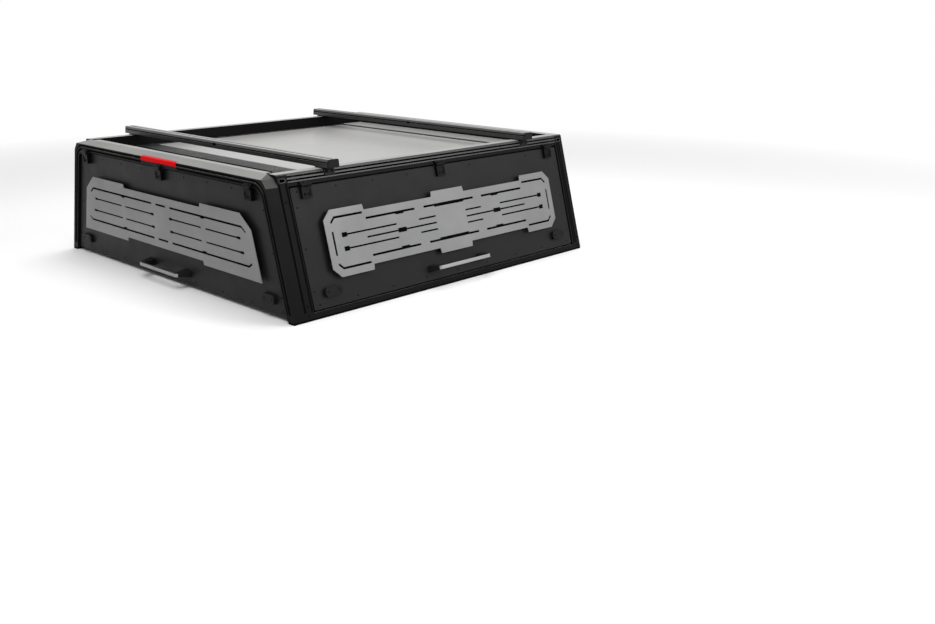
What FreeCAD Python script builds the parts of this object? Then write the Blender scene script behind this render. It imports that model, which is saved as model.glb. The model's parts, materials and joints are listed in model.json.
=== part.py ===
import FreeCAD, Part
import math
import os
import Sketcher

# Driving sizes in millimetres and degrees: alias, value
SIZES = (
    # The base, which stands on the rails of a load bed
    ("base_width", 1750),
    ("lean_angle", 15),
    ("gasket_thickness", 8),
    ("gasket_width", 34),
    ("base_lip", 20),
    ("base_flange_thickness", 6),
    ("base_flange_reach", 95),
    ("foot_height", 26),
    ("clamp_hole_radius", 5.5),
    ("clamp_hole_inset", 18),
    ("clamp_hole_end", 110),
    # The frame of posts and rails
    ("rear_frame_depth", 54),
    ("rear_border", 38),
    ("rear_side_post", 44),
    ("front_side_post", 52),
    ("post_depth", 50),
    ("rail_rise", 46),
    ("rail_width", 46),
    ("rail_edge", 4),
    ("hinge_land", 13),
    ("land_depth", 3),
    ("casting_drop", 26),
    ("casting_slot_length", 26),
    ("casting_slot_width", 12),
    ("casting_slot_depth", 30),
    ("post_groove_width", 5),
    ("post_groove_depth", 4),
    ("post_groove_near", 8),
    ("post_groove_front", 13),
    ("corner_slot_width", 8),
    ("portal_radius", 50),
    ("portal_split", 94),
    ("portal_groove_inset", 19),
    ("portal_groove_width", 5),
    ("portal_groove_depth", 3),
    ("shoulder_reach", 50),
    ("shoulder_drop", 43),
    ("shoulder_middle_reach", 13),
    ("shoulder_middle_drop", 14),
    ("portal_top_fall", 13),
    ("jamb_cover", 16),
    ("jamb_height", 22),
    ("jamb_thickness", 6),
    ("track_opening", 6),
    ("track_lip", 2),
    ("track_cavity", 10),
    ("track_depth", 6),
    ("track_pitch", 13),
    ("track_first", 22),
    ("seal_space", 5),
    ("seal_width", 10),
    ("soft_clearance", 0.3),
    # The doors
    ("door_gap", 6),
    ("door_thickness", 25),
    ("side_door_length", 1523),
    ("side_door_height", 460),
    ("side_recess", 3),
    ("rear_recess", 11),
    ("rear_door_clear", 8),
    ("door_corner_radius", 8),
    ("tray_border", 58),
    ("tray_depth", 19),
    ("tray_radius", 18),
    # Hinges with their axis outside the doors
    ("axis_out", 8),
    ("hinge_width", 46),
    ("knuckle_radius", 7),
    ("knuckle_middle", 15),
    ("knuckle_gap", 0.5),
    ("pin_radius", 3),
    ("pin_clearance", 0.08),
    ("leaf_thickness", 5),
    ("leaf_rise", 7.5),
    ("leaf_start", 8),
    ("leaf_drop", 48),
    ("leaf_border", 7),
    ("leaf_pocket", 2.5),
    ("side_hinge_spread", 695),
    ("rear_hinge_spread", 638),
    # Gas struts: their pivots from the hinge axis, inwards and down
    ("strut_frame_in", 105),
    ("strut_frame_down", 330),
    ("strut_door_in", 80),
    ("strut_door_down", 100),
    ("strut_edge", 36),
    ("tube_radius", 9),
    ("tube_bore", 5),
    ("tube_length", 190),
    ("tube_start", 15),
    ("neck_radius", 3.2),
    ("tube_floor", 26),
    ("rod_radius", 4),
    ("rod_length", 200),
    ("eye_radius", 8.5),
    ("eye_width", 8),
    ("stud_radius", 3.5),
    ("stud_clearance", 0.1),
    ("bracket_thickness", 5),
    ("bracket_width", 26),
    ("arm_width", 18),
    # Slotted plates on the doors
    ("plate_thickness", 3),
    ("plate_proud", 20),
    ("side_plate_height", 258),
    ("side_plate_middle", 254.5),
    ("side_plate_half", 656),
    ("side_plate_corner", 36),
    ("side_notch_depth", 22),
    ("side_notch_start", 95),
    ("side_notch_end", 456),
    ("notch_slant", 4),
    ("plate_line_inset", 31.5),
    ("plate_line_corner", 19.5),
    ("plate_line_upright", 45.5),
    ("plate_line_gap", 11),
    ("rear_plate_height", 249),
    ("rear_plate_middle", 245.5),
    ("rear_plate_half", 701),
    ("rear_corner_reach", 71),
    ("rear_corner_drop", 56),
    ("rear_notch_depth", 16),
    ("rear_notch_half", 301),
    ("line_width", 8.5),
    ("fine_width", 6.5),
    ("bump_width", 13),
    ("block_width", 18),
    ("square_width", 11),
    ("boss_radius", 8),
    ("boss_near", 255),
    ("boss_far", 530),
    ("boss_row", 48),
    # Handles and latch covers
    ("handle_length", 300),
    ("handle_height", 14),
    ("handle_thickness", 9),
    ("handle_slant", 7),
    ("handle_proud", 60),
    ("handle_rise", 46),
    ("handle_foot_spread", 16),
    ("handle_foot_width", 26),
    ("handle_foot_height", 28),
    ("latch_width", 80),
    ("latch_height", 38),
    ("latch_radius", 15),
    ("latch_proud", 14),
    ("latch_rise", 38),
    ("latch_inset", 96),
    # Roof
    ("roof_drop", 45),
    ("rib_panel_length", 295),
    ("rib_panel_thickness", 20),
    ("rib_pitch", 15),
    ("rib_width", 7),
    ("rib_height", 4),
    ("roof_thickness", 14),
    ("roof_joint", 1),
    ("ledge_reach", 22),
    ("ledge_thickness", 6),
    ("bow_width", 40),
    ("bow_height", 24),
    # Cross bars
    ("bar_rear", 294),
    ("bar_front", 1411),
    ("bar_overhang", 30),
    ("bar_width", 55),
    ("bar_top_width", 49),
    ("bar_height", 31),
    ("bar_edge", 3),
    ("bar_groove_rise", 16),
    ("bar_groove_width", 5),
    ("bar_groove_depth", 7),
    ("bar_track_opening", 8),
    ("bar_track_cavity", 16),
    ("bar_foot_height", 4.5),
    ("bar_foot_length", 48),
    ("bar_foot_width", 50),
    ("bar_foot_wrap", 25),
    ("bar_foot_plate", 5),
    ("bar_cap_thickness", 5),
    # Front wall and its window
    ("wall_thickness", 25),
    ("wall_inset", 6),
    ("window_border", 90),
    ("window_radius", 45),
    ("window_seal", 14),
    ("glass_thickness", 5),
    # Brake lamp in the rear beam
    ("lamp_length", 276),
    ("lamp_depth", 12),
    ("lamp_rise", 15),
    ("lamp_proud", 2),
    ("lamp_edge", 3),
)

doc = FreeCAD.newDocument("Canopy")
sheet = doc.addObject("Spreadsheet::Sheet", "Sizes")


class Size:
    """A length or an angle: its number, and the expression that gives it."""

    def __init__(self, value, text):
        self.value = float(value)
        self.text = text

    def __add__(self, other):
        other = as_size(other)
        return Size(self.value + other.value, f"({self.text} + {other.text})")

    def __radd__(self, other):
        return as_size(other) + self

    def __sub__(self, other):
        other = as_size(other)
        return Size(self.value - other.value, f"({self.text} - {other.text})")

    def __rsub__(self, other):
        return as_size(other) - self

    def __mul__(self, other):
        other = as_size(other)
        return Size(self.value * other.value, f"({self.text} * {other.text})")

    def __rmul__(self, other):
        return as_size(other) * self

    def __truediv__(self, other):
        other = as_size(other)
        return Size(self.value / other.value, f"({self.text} / {other.text})")

    def __neg__(self):
        return Size(-self.value, f"(-1 * {self.text})")


def as_size(thing):
    """Take a plain number as a Size, and a Size as it is."""
    if isinstance(thing, Size):
        return thing
    return Size(thing, f"({thing:g})")


def hypotenuse(first, second):
    """The length of the line whose two sides are given."""
    text = f"sqrt({first.text} * {first.text} + {second.text} * {second.text})"
    return Size(math.hypot(first.value, second.value), text)


class Sheet:
    """The driving sizes by name, each bound to its cell."""

    def __init__(self, rows):
        for number, (alias, value) in enumerate(rows, start=1):
            sheet.set(f"A{number}", alias)
            sheet.set(f"B{number}", f"{value:g}")
            sheet.setAlias(f"B{number}", alias)
            setattr(self, alias, Size(value, f"Sizes.{alias}"))


D = Sheet(SIZES)
doc.recompute()

# The largest corner radius of a slot or a lug, as a share of half its width
ROUND = 0.96

# The lean of the sides, as ratios
LEAN = math.radians(D.lean_angle.value)
TAN = Size(math.tan(LEAN), "tan(Sizes.lean_angle)")
COS = Size(math.cos(LEAN), "cos(Sizes.lean_angle)")
SIN = Size(math.sin(LEAN), "sin(Sizes.lean_angle)")

# Heights above the gasket: up the slope of a side, and upright
HALF_BASE = D.base_width / 2
SIDE_DOOR_LOW = D.base_lip + D.door_gap
SIDE_DOOR_TOP = SIDE_DOOR_LOW + D.side_door_height
RAIL_LOW = SIDE_DOOR_TOP + D.door_gap
RAIL_LOW_UPRIGHT = RAIL_LOW * COS
RAIL_TOP_UPRIGHT = RAIL_LOW_UPRIGHT + D.rail_rise
RAIL_TOP = RAIL_TOP_UPRIGHT / COS
FOOT_UPRIGHT = D.foot_height * COS
LEDGE_TOP = RAIL_TOP_UPRIGHT - D.roof_drop - D.rib_panel_thickness
BEAM_LOW = LEDGE_TOP - D.ledge_thickness
CASTING_LOW = RAIL_LOW - D.casting_drop

# Lengths along the side, from the middle of its door
DOOR_HALF = D.side_door_length / 2
OPENING_HALF = DOOR_HALF + D.door_gap
BASE_LENGTH = D.rear_frame_depth + D.rear_side_post + 2 * OPENING_HALF + D.front_side_post
REAR_REACH = D.handle_proud - D.rear_recess
REAR_X = -(BASE_LENGTH - REAR_REACH) / 2
FRONT_X = REAR_X + BASE_LENGTH
DOOR_X = REAR_X + D.rear_frame_depth + D.rear_side_post + OPENING_HALF

# Depths behind the outer face of the frame
SIDE_JAMB = D.side_recess + D.door_thickness + D.seal_space
REAR_JAMB = D.rear_recess + D.door_thickness + D.seal_space
RAIL_INNER = HALF_BASE - RAIL_TOP_UPRIGHT * TAN - D.rail_width


def edge_at(height, depth=0):
    """How far from the middle a side's face is, at an upright height and a depth behind it."""
    return HALF_BASE - height * TAN - as_size(depth) / COS


def upright(up, out):
    """A point of a leaned side's own up and out, as an upright height and a distance from the middle."""
    up, out = as_size(up), as_size(out)
    return up * COS + out * SIN, HALF_BASE - up * SIN + out * COS


def leaned(height, across):
    """An upright height and a distance from the middle, in a leaned side's own up and out."""
    step = across - HALF_BASE
    return height * COS - step * SIN, height * SIN + step * COS


def leaned_at(height, out):
    """The point of a leaned side's own plane at an upright height, a distance out of its face."""
    out = as_size(out)
    return (height - out * SIN) / COS, out


class Station:
    """A place on the canopy with axes of its own: along, up and out."""

    def __init__(self, origin, along, up):
        self.origin = [as_size(value) for value in origin]
        self.along = FreeCAD.Vector(*along)
        self.up = FreeCAD.Vector(*up)
        self.out = self.along.cross(self.up)

    def place(self, thing):
        """Give a body this station's axes, its origin bound to the sheet."""
        along, up, out = self.along, self.up, self.out
        turn = FreeCAD.Matrix(
            along.x, up.x, out.x, 0,
            along.y, up.y, out.y, 0,
            along.z, up.z, out.z, 0,
            0, 0, 0, 1)
        thing.Placement = FreeCAD.Placement(turn)
        for axis, value in zip("xyz", self.origin):
            thing.setExpression(f".Placement.Base.{axis}", value.text)

    def point(self, along, up, out):
        """A point of this station in the canopy's own frame, in numbers."""
        base = FreeCAD.Vector(*[value.value for value in self.origin])
        return base + self.along * along + self.up * up + self.out * out

    def turned(self, along, up, out, angle):
        """A station at a point of this one, turned about its along axis, up towards out."""
        here = self.point(along.value, up.value, out.value)
        parts = []
        for name, base in zip("xyz", self.origin):
            total = base
            for step, axis in ((along, self.along), (up, self.up), (out, self.out)):
                total = total + step * round(getattr(axis, name), 12)
            parts.append(total)
        assert (FreeCAD.Vector(*[part.value for part in parts]) - here).Length < 1e-6
        new_up = self.up * math.cos(angle) + self.out * math.sin(angle)
        return Station(parts, self.along, new_up)


Z0 = D.gasket_thickness
REAR = Station((REAR_X, 0, Z0), (0, -1, 0), (0, 0, 1))
FRONT = Station((FRONT_X, 0, Z0), (0, 1, 0), (0, 0, 1))
ROOF = Station((REAR_X, 0, Z0), (1, 0, 0), (0, 1, 0))
SIDES = {
    "right": Station((DOOR_X, -HALF_BASE, Z0), (1, 0, 0), (0, math.sin(LEAN), math.cos(LEAN))),
    "left": Station((DOOR_X, HALF_BASE, Z0), (-1, 0, 0), (0, -math.sin(LEAN), math.cos(LEAN))),
}
UPRIGHTS = {
    "right": Station((DOOR_X, 0, Z0), (1, 0, 0), (0, 0, 1)),
    "left": Station((DOOR_X, 0, Z0), (-1, 0, 0), (0, 0, 1)),
}
# Towards the rear along each side station
REARWARDS = {"right": -1, "left": 1}

PLANES = {"face": "XY_Plane", "section": "YZ_Plane", "plan": "XZ_Plane"}
# A plane whose normal points down its station's own axis
BACKWARD = {"face": False, "section": False, "plan": True}

nodes = []
cuts_to_check = []


class Drawing:
    """Geometry and constraints gathered for one sketch."""

    def __init__(self):
        self.shapes = []
        self.helpers = []
        self.constraints = []
        self.bound = []

    def bind(self, *constraint, size):
        """Add a constraint whose value follows the sheet."""
        self.bound.append((len(self.constraints), size.text))
        self.constraints.append(Sketcher.Constraint(*constraint, size.value))

    def fix(self, shape, point, across, up):
        """Hold one point of a shape at a place."""
        self.bind("DistanceX", -1, 1, shape, point, size=across)
        self.bind("DistanceY", -1, 1, shape, point, size=up)

    def add(self, shape, construction=False):
        """Add a shape and give its number."""
        self.shapes.append(shape)
        self.helpers.append(construction)
        return len(self.shapes) - 1

    def circle(self, across, up, radius):
        """A full circle."""
        across, up, radius = as_size(across), as_size(up), as_size(radius)
        centre = FreeCAD.Vector(across.value, up.value, 0)
        number = self.add(Part.Circle(centre, FreeCAD.Vector(0, 0, 1), radius.value))
        self.fix(number, 3, across, up)
        self.bind("Radius", number, size=radius)

    def loop(self, corners):
        """A closed loop of straight edges; a corner's third value is its radius."""
        corners = [[as_size(value) for value in corner] for corner in corners]
        spots = [FreeCAD.Vector(corner[0].value, corner[1].value, 0) for corner in corners]
        count = len(corners)
        starts, ends = list(spots), list(spots)
        rounds = {}
        for number, corner in enumerate(corners):
            if len(corner) < 3:
                continue
            here = spots[number]
            back = (spots[number - 1] - here).normalize()
            ahead = (spots[(number + 1) % count] - here).normalize()
            half = back.getAngle(ahead) / 2
            reach = corner[2].value / math.tan(half)
            starts[number] = here + back * reach
            ends[number] = here + ahead * reach
            centre = here + (back + ahead).normalize() * (corner[2].value / math.sin(half))
            left_turn = back.cross(ahead).z < 0
            rounds[number] = (centre, left_turn, corner[2])
        lines = []
        for number in range(count):
            line = Part.LineSegment(ends[number], starts[(number + 1) % count])
            lines.append(self.add(line))
        for number, corner in enumerate(corners):
            before, after = lines[number - 1], lines[number]
            if number not in rounds:
                self.constraints.append(Sketcher.Constraint("Coincident", before, 2, after, 1))
                self.fix(after, 1, corner[0], corner[1])
                continue
            centre, left_turn, radius = rounds[number]
            first, last = starts[number], ends[number]
            if not left_turn:
                first, last = last, first
            angles = [math.atan2(spot.y - centre.y, spot.x - centre.x) for spot in (first, last)]
            circle = Part.Circle(centre, FreeCAD.Vector(0, 0, 1), radius.value)
            arc = self.add(Part.ArcOfCircle(circle, *angles))
            into, out_of = (1, 2) if left_turn else (2, 1)
            apex = self.add(Part.Point(spots[number]), construction=True)
            self.fix(apex, 1, corner[0], corner[1])
            for line in (before, after):
                self.constraints.append(Sketcher.Constraint("PointOnObject", apex, 1, line))
            self.constraints.append(Sketcher.Constraint("Tangent", before, 2, arc, into))
            self.constraints.append(Sketcher.Constraint("Tangent", arc, out_of, after, 1))
            self.bind("Radius", arc, size=radius)

    def box(self, low, high, radius=None):
        """A rectangle between two corners, its own corners round if a radius is given."""
        (left, bottom), (right, top) = low, high
        corners = [(left, bottom), (right, bottom), (right, top), (left, top)]
        if radius is not None:
            corners = [corner + (radius,) for corner in corners]
        self.loop(corners)


class Piece:
    """One body of the canopy, built by pads and pockets in its station's axes."""

    def __init__(self, label, station):
        self.body = doc.addObject("PartDesign::Body", label)
        self.body.Label = label
        station.place(self.body)
        self.count = 0

    def sketch(self, plane, drawing, start):
        """A sketch on one of the body's planes, moved along its normal to a start."""
        self.count += 1
        sketch = self.body.newObject("Sketcher::SketchObject", f"{self.body.Label}_sketch{self.count}")
        role = PLANES[plane]
        support = [item for item in self.body.Origin.OriginFeatures if item.Role == role][0]
        sketch.AttachmentSupport = [(support, "")]
        sketch.MapMode = "FlatFace"
        start = -start if BACKWARD[plane] else start
        sketch.AttachmentOffset = FreeCAD.Placement(
            FreeCAD.Vector(0, 0, start.value), FreeCAD.Rotation())
        sketch.setExpression(".AttachmentOffset.Base.z", start.text)
        for shape, helper in zip(drawing.shapes, drawing.helpers):
            sketch.addGeometry(shape, helper)
        sketch.addConstraint(drawing.constraints)
        for number, text in drawing.bound:
            sketch.setExpression(f"Constraints[{number}]", text)
        sketch.Visibility = False
        return sketch

    def pad(self, plane, drawing, start, end):
        """Add the drawing's solid between two places along its plane's axis."""
        start, end = as_size(start), as_size(end)
        sketch = self.sketch(plane, drawing, start)
        pad = self.body.newObject("PartDesign::Pad", f"{self.body.Label}_pad{self.count}")
        pad.Profile = sketch
        pad.Length = (end - start).value
        pad.setExpression("Length", (end - start).text)
        pad.Reversed = BACKWARD[plane]
        return self

    def cut(self, plane, drawing, start, end):
        """Take the drawing's solid away between two places along its plane's axis."""
        start, end = as_size(start), as_size(end)
        before = self.body.Tip
        sketch = self.sketch(plane, drawing, start)
        pocket = self.body.newObject("PartDesign::Pocket", f"{self.body.Label}_cut{self.count}")
        pocket.Profile = sketch
        pocket.Length = (end - start).value
        pocket.setExpression("Length", (end - start).text)
        pocket.Reversed = not BACKWARD[plane]
        cuts_to_check.append((before, pocket))
        return self


def drawn(*corners):
    """A drawing of one loop."""
    drawing = Drawing()
    drawing.loop(corners)
    return drawing


def rectangle(left, right, bottom, top, radius=None):
    """A drawing of one rectangle."""
    drawing = Drawing()
    drawing.box((left, bottom), (right, top), radius)
    return drawing


def disc(across, up, radius):
    """A drawing of one circle."""
    drawing = Drawing()
    drawing.circle(across, up, radius)
    return drawing


def node(piece):
    """Keep a piece as a node of its own."""
    nodes.append(piece.body)
    return piece


def group(label, pieces):
    """Keep like pieces of one body as a node."""
    compound = doc.addObject("Part::Compound", label)
    compound.Label = label
    compound.Links = [piece.body for piece in pieces]
    nodes.append(compound)


def build_base():
    """Gasket strips, side rails with their clamp holes, the front rail and the corner feet."""
    strips = []
    for side, station in UPRIGHTS.items():
        rear = -(OPENING_HALF + D.rear_side_post + D.rear_frame_depth)
        front = OPENING_HALF + D.front_side_post
        start, end = (rear, front) if side == "right" else (-front, -rear)
        strip = Piece(f"gasket_{side}", station)
        inner = HALF_BASE - D.gasket_width
        strip.pad("section", rectangle(-D.gasket_thickness, 0, inner, HALF_BASE), start, end)
        strips.append(strip)

        rail = node(Piece(f"base_rail_{side}", station))
        near, far = SIDE_JAMB, SIDE_JAMB + D.jamb_thickness
        jamb_top = D.base_lip + D.jamb_height
        flange = D.base_flange_thickness
        flange_edge = HALF_BASE - D.base_flange_reach
        rail.pad("section", drawn(
            (0, HALF_BASE),
            upright(D.base_lip, 0),
            upright(D.base_lip, -near),
            upright(jamb_top, -near),
            upright(jamb_top, -far),
            (flange, edge_at(flange, far)),
            (flange, flange_edge),
            (0, flange_edge)), -OPENING_HALF, OPENING_HALF)
        holes = Drawing()
        hole_out = flange_edge + D.clamp_hole_inset
        spread = OPENING_HALF - D.clamp_hole_end
        for place in (-spread, 0, spread):
            holes.circle(place, hole_out, D.clamp_hole_radius)
        rail.cut("plan", holes, 0, flange)

    strip = Piece("gasket_front", ROOF)
    inner = HALF_BASE - D.gasket_width - D.roof_joint
    strip.pad("face", rectangle(BASE_LENGTH - D.gasket_width, BASE_LENGTH, -inner, inner),
              -D.gasket_thickness, 0)
    strips.append(strip)
    group("base_gasket", strips)

    feet = []
    lengths = (("rear", ((0, D.rear_side_post, D.post_depth),
                         (D.rear_side_post, D.rear_side_post + D.rear_frame_depth, D.rear_border))),
               ("front", ((0, D.front_side_post, D.post_depth),)))
    for side, station in UPRIGHTS.items():
        for end_name, blocks in lengths:
            foot = Piece(f"foot_{end_name}_{side}", station)
            towards = REARWARDS[side] if end_name == "rear" else -REARWARDS[side]
            for first, last, depth in blocks:
                start, end = OPENING_HALF + first, OPENING_HALF + last
                if towards < 0:
                    start, end = -end, -start
                foot.pad("section", drawn(
                    (0, HALF_BASE),
                    upright(D.foot_height, 0),
                    upright(D.foot_height, -depth),
                    (0, edge_at(0, depth))), start, end)
            feet.append(foot)
    group("foot_castings", feet)

    front_rail = node(Piece("base_rail_front", FRONT))
    low, high = edge_at(0, D.post_depth), edge_at(FOOT_UPRIGHT, D.post_depth)
    front_rail.pad("face", drawn((-low, 0), (low, 0), (high, FOOT_UPRIGHT), (-high, FOOT_UPRIGHT)),
                   -D.front_side_post, 0)


def post_grooves(end_name, width, towards, low, high):
    """The upright grooves in a corner's outer face, as boxes between two levels."""
    half = D.post_groove_width / 2
    if end_name == "rear":
        places = [(D.post_groove_near - half, D.post_groove_near + half),
                  (width - D.corner_slot_width, width)]
    else:
        places = [(middle - half, middle + half)
                  for middle in (D.post_groove_front, D.post_groove_front + D.track_pitch)]
    drawing = Drawing()
    for first, last in places:
        start, end = OPENING_HALF + first, OPENING_HALF + last
        if towards < 0:
            start, end = -end, -start
        drawing.box((start, low), (end, high))
    return drawing


def build_side_frames():
    """Posts, corner castings and slotted rails of both sides."""
    posts, castings = [], []
    near, far = SIDE_JAMB, SIDE_JAMB + D.jamb_thickness
    ends = (("rear", D.rear_side_post), ("front", D.front_side_post))
    top_inner = leaned(RAIL_TOP_UPRIGHT, RAIL_INNER)
    top_outer = leaned(RAIL_TOP_UPRIGHT, edge_at(RAIL_TOP_UPRIGHT) - D.rail_edge)
    side_edge = RAIL_TOP - D.rail_edge
    ledge_corner = leaned(LEDGE_TOP, RAIL_INNER)
    ledge_edge = leaned(LEDGE_TOP, RAIL_INNER - D.ledge_reach)
    ledge_under = leaned(BEAM_LOW, RAIL_INNER - D.ledge_reach)
    jamb_low = leaned_at(BEAM_LOW, -near)
    casting_corner = leaned(BEAM_LOW, RAIL_INNER)
    land_top = RAIL_LOW + D.hinge_land
    for side, station in SIDES.items():
        for end_name, width in ends:
            towards = REARWARDS[side] if end_name == "rear" else -REARWARDS[side]
            start, end = OPENING_HALF, OPENING_HALF + width
            cover_start, cover_end = OPENING_HALF - D.jamb_cover, OPENING_HALF
            if towards < 0:
                start, end = -end, -start
                cover_start, cover_end = -cover_end, -cover_start
            post = Piece(f"post_{end_name}_{side}", station)
            post.pad("face", rectangle(start, end, D.foot_height, CASTING_LOW), -D.post_depth, 0)
            post.cut("face", post_grooves(end_name, width, towards, D.foot_height, CASTING_LOW),
                     -D.post_groove_depth, 0)
            low, high = D.base_lip + D.jamb_height, jamb_low[0]
            post.pad("face", rectangle(cover_start, cover_end, low, high), -far, -near)
            posts.append(post)

            casting = Piece(f"casting_{end_name}_{side}", station)
            casting.pad("section", drawn(
                (CASTING_LOW, 0), (side_edge, 0), top_outer, top_inner, casting_corner,
                leaned_at(BEAM_LOW, -D.post_depth), (CASTING_LOW, -D.post_depth)), start, end)
            middle = (start + end) / 2
            level = RAIL_TOP - D.rail_rise / 2
            reach, half = D.casting_slot_length / 2, D.casting_slot_width / 2
            casting.cut("face", rectangle(
                middle - reach, middle + reach, level - half, level + half, half * ROUND),
                -D.casting_slot_depth, 0)
            casting.cut("face", post_grooves(end_name, width, towards, CASTING_LOW, land_top),
                        -D.post_groove_depth, 0)
            castings.append(casting)

        rail = node(Piece(f"side_rail_{side}", station))
        rail.pad("section", drawn(
            (RAIL_LOW, -D.land_depth),
            (land_top, -D.land_depth),
            (land_top, 0),
            (side_edge, 0),
            top_outer,
            top_inner,
            ledge_corner,
            ledge_edge,
            ledge_under,
            jamb_low,
            (RAIL_LOW, -near)), -OPENING_HALF, OPENING_HALF)
        tracks, cavities = Drawing(), Drawing()
        for number in range(2):
            level = RAIL_LOW + D.track_first + number * D.track_pitch
            half = D.track_opening / 2
            tracks.box((level - half, -D.track_depth), (level + half, 0))
            half = D.track_cavity / 2
            cavities.box((level - half, -D.track_depth), (level + half, -D.track_lip))
        rail.cut("section", tracks, -OPENING_HALF, OPENING_HALF)
        rail.cut("section", cavities, -OPENING_HALF, OPENING_HALF)
    group("side_posts", posts)
    group("corner_castings", castings)


def portal_outline(side, high, inset):
    """One leaned post of the rear portal, from its foot up, as corners."""
    foot_outer, foot_inner = upright(D.foot_height, 0), upright(D.foot_height, -inset)
    return [(side * foot_outer[1], foot_outer[0]), (side * edge_at(high), high),
            (side * edge_at(high, inset), high), (side * foot_inner[1], foot_inner[0])]


def build_rear_portal():
    """The rear posts, and the beam with its round inner corners and the recess for the lamp."""
    split = RAIL_LOW_UPRIGHT - D.portal_split
    near, far = REAR_JAMB, REAR_JAMB + D.jamb_thickness
    cover = D.rear_border + D.jamb_cover
    groove, groove_end = D.portal_groove_inset, D.portal_groove_inset + D.portal_groove_width
    posts = []
    for side_name, side in (("right", 1), ("left", -1)):
        post = Piece(f"rear_post_{side_name}", REAR)
        post.pad("face", drawn(*portal_outline(side, split, D.rear_border)), -D.rear_frame_depth, 0)
        post.pad("face", drawn(*portal_outline(side, split, cover)), -far, -near)
        foot = FOOT_UPRIGHT
        post.cut("face", drawn(
            (side * edge_at(foot, groove), foot), (side * edge_at(split, groove), split),
            (side * edge_at(split, groove_end), split), (side * edge_at(foot, groove_end), foot)),
            -D.portal_groove_depth, 0)
        posts.append(post)
    group("rear_posts", posts)

    beam = node(Piece("rear_beam", REAR))
    shoulder_low = RAIL_TOP_UPRIGHT - D.shoulder_drop
    top_edge = edge_at(RAIL_TOP_UPRIGHT)

    def outline(inset, drop, radius):
        """The beam's outline with its inner edge at an inset from the outer one."""
        low = RAIL_LOW_UPRIGHT - drop
        half = [(edge_at(split, inset), split), (edge_at(split), split),
                (edge_at(shoulder_low), shoulder_low),
                (top_edge - D.shoulder_middle_reach, RAIL_TOP_UPRIGHT - D.shoulder_middle_drop),
                (top_edge - D.shoulder_reach, RAIL_TOP_UPRIGHT)]
        other = [(-across, up) for across, up in reversed(half)]
        inner = [(-edge_at(low, inset), low, radius), (edge_at(low, inset), low, radius)]
        return drawn(*half, *other, *inner)

    beam.pad("face", outline(D.rear_border, as_size(0), D.portal_radius), -D.rear_frame_depth, 0)
    beam.pad("face", outline(cover, D.jamb_cover, D.portal_radius - D.jamb_cover), -far, -near)
    beam.cut("section", drawn(
        (RAIL_TOP_UPRIGHT, -D.rear_frame_depth),
        (RAIL_TOP_UPRIGHT + D.portal_top_fall, -D.rear_frame_depth),
        (RAIL_TOP_UPRIGHT + D.portal_top_fall, 0),
        (RAIL_TOP_UPRIGHT - D.portal_top_fall, 0)), -HALF_BASE, HALF_BASE)
    high, low = RAIL_TOP_UPRIGHT - groove, RAIL_TOP_UPRIGHT - groove_end
    radius = D.portal_radius + D.rear_border - groove
    radius_in = radius - D.portal_groove_width
    beam.cut("face", drawn(
        (edge_at(split, groove), split), (edge_at(high, groove), high, radius),
        (-edge_at(high, groove), high, radius), (-edge_at(split, groove), split),
        (-edge_at(split, groove_end), split), (-edge_at(low, groove_end), low, radius_in),
        (edge_at(low, groove_end), low, radius_in), (edge_at(split, groove_end), split)),
        -D.portal_groove_depth, 0)
    half = D.lamp_length / 2
    low = RAIL_LOW_UPRIGHT + D.lamp_rise
    beam.cut("section", drawn(
        (low, -D.lamp_depth), (RAIL_TOP_UPRIGHT, -D.lamp_depth), (RAIL_TOP_UPRIGHT, 0), (low, 0)),
        -half, half)

    def top_at(depth):
        """The level of the beam's sloping top at a depth behind its face."""
        return RAIL_TOP_UPRIGHT - D.portal_top_fall * (D.rear_frame_depth - depth) / D.rear_frame_depth

    lamp = node(Piece("brake_lamp", REAR))
    gap = D.soft_clearance
    back = D.lamp_depth - gap
    lamp.pad("section", drawn(
        (low + gap, -back), (top_at(back), -back), (top_at(0), 0),
        (top_at(0) - D.lamp_edge, D.lamp_proud), (low + gap + D.lamp_edge, D.lamp_proud),
        (low + gap, 0)), gap - half, half - gap)


def build_front():
    """The front beam, and the wall with its fixed window."""
    beam = node(Piece("front_beam", FRONT))
    low = BEAM_LOW
    beam.pad("section", rectangle(low, RAIL_TOP_UPRIGHT, -D.rail_width, 0), -RAIL_INNER, RAIL_INNER)
    ledge_half = RAIL_INNER - D.ledge_reach - D.roof_joint
    beam.pad("section", rectangle(low, LEDGE_TOP, -D.rail_width - D.ledge_reach, 0),
             -ledge_half, ledge_half)

    wall = node(Piece("front_wall", FRONT))
    base, top = FOOT_UPRIGHT, low
    inset = D.post_depth
    back, face = -D.wall_inset - D.wall_thickness, -D.wall_inset
    wall.pad("face", drawn(
        (-edge_at(base, inset), base), (edge_at(base, inset), base),
        (edge_at(top, inset), top), (-edge_at(top, inset), top)), back, face)

    def window(inset_more, radius):
        """The window's outline, moved in from its opening."""
        border = inset + D.window_border + inset_more
        sill, head = base + D.window_border + inset_more, top - D.window_border - inset_more
        return [(-edge_at(sill, border), sill, radius), (edge_at(sill, border), sill, radius),
                (edge_at(head, border), head, radius), (-edge_at(head, border), head, radius)]

    wall.cut("face", drawn(*window(as_size(0), D.window_radius)), back, face)
    seal = node(Piece("window_seal", FRONT))
    inner_radius = D.window_radius - D.window_seal
    ring = drawn(*window(as_size(0), D.window_radius))
    ring.loop(window(D.window_seal, inner_radius))
    seal.pad("face", ring, back, face)
    glass = node(Piece("front_window", FRONT))
    middle = (back + face) / 2
    glass.pad("face", drawn(*window(D.window_seal, inner_radius)),
              middle - D.glass_thickness / 2, middle + D.glass_thickness / 2)


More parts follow.
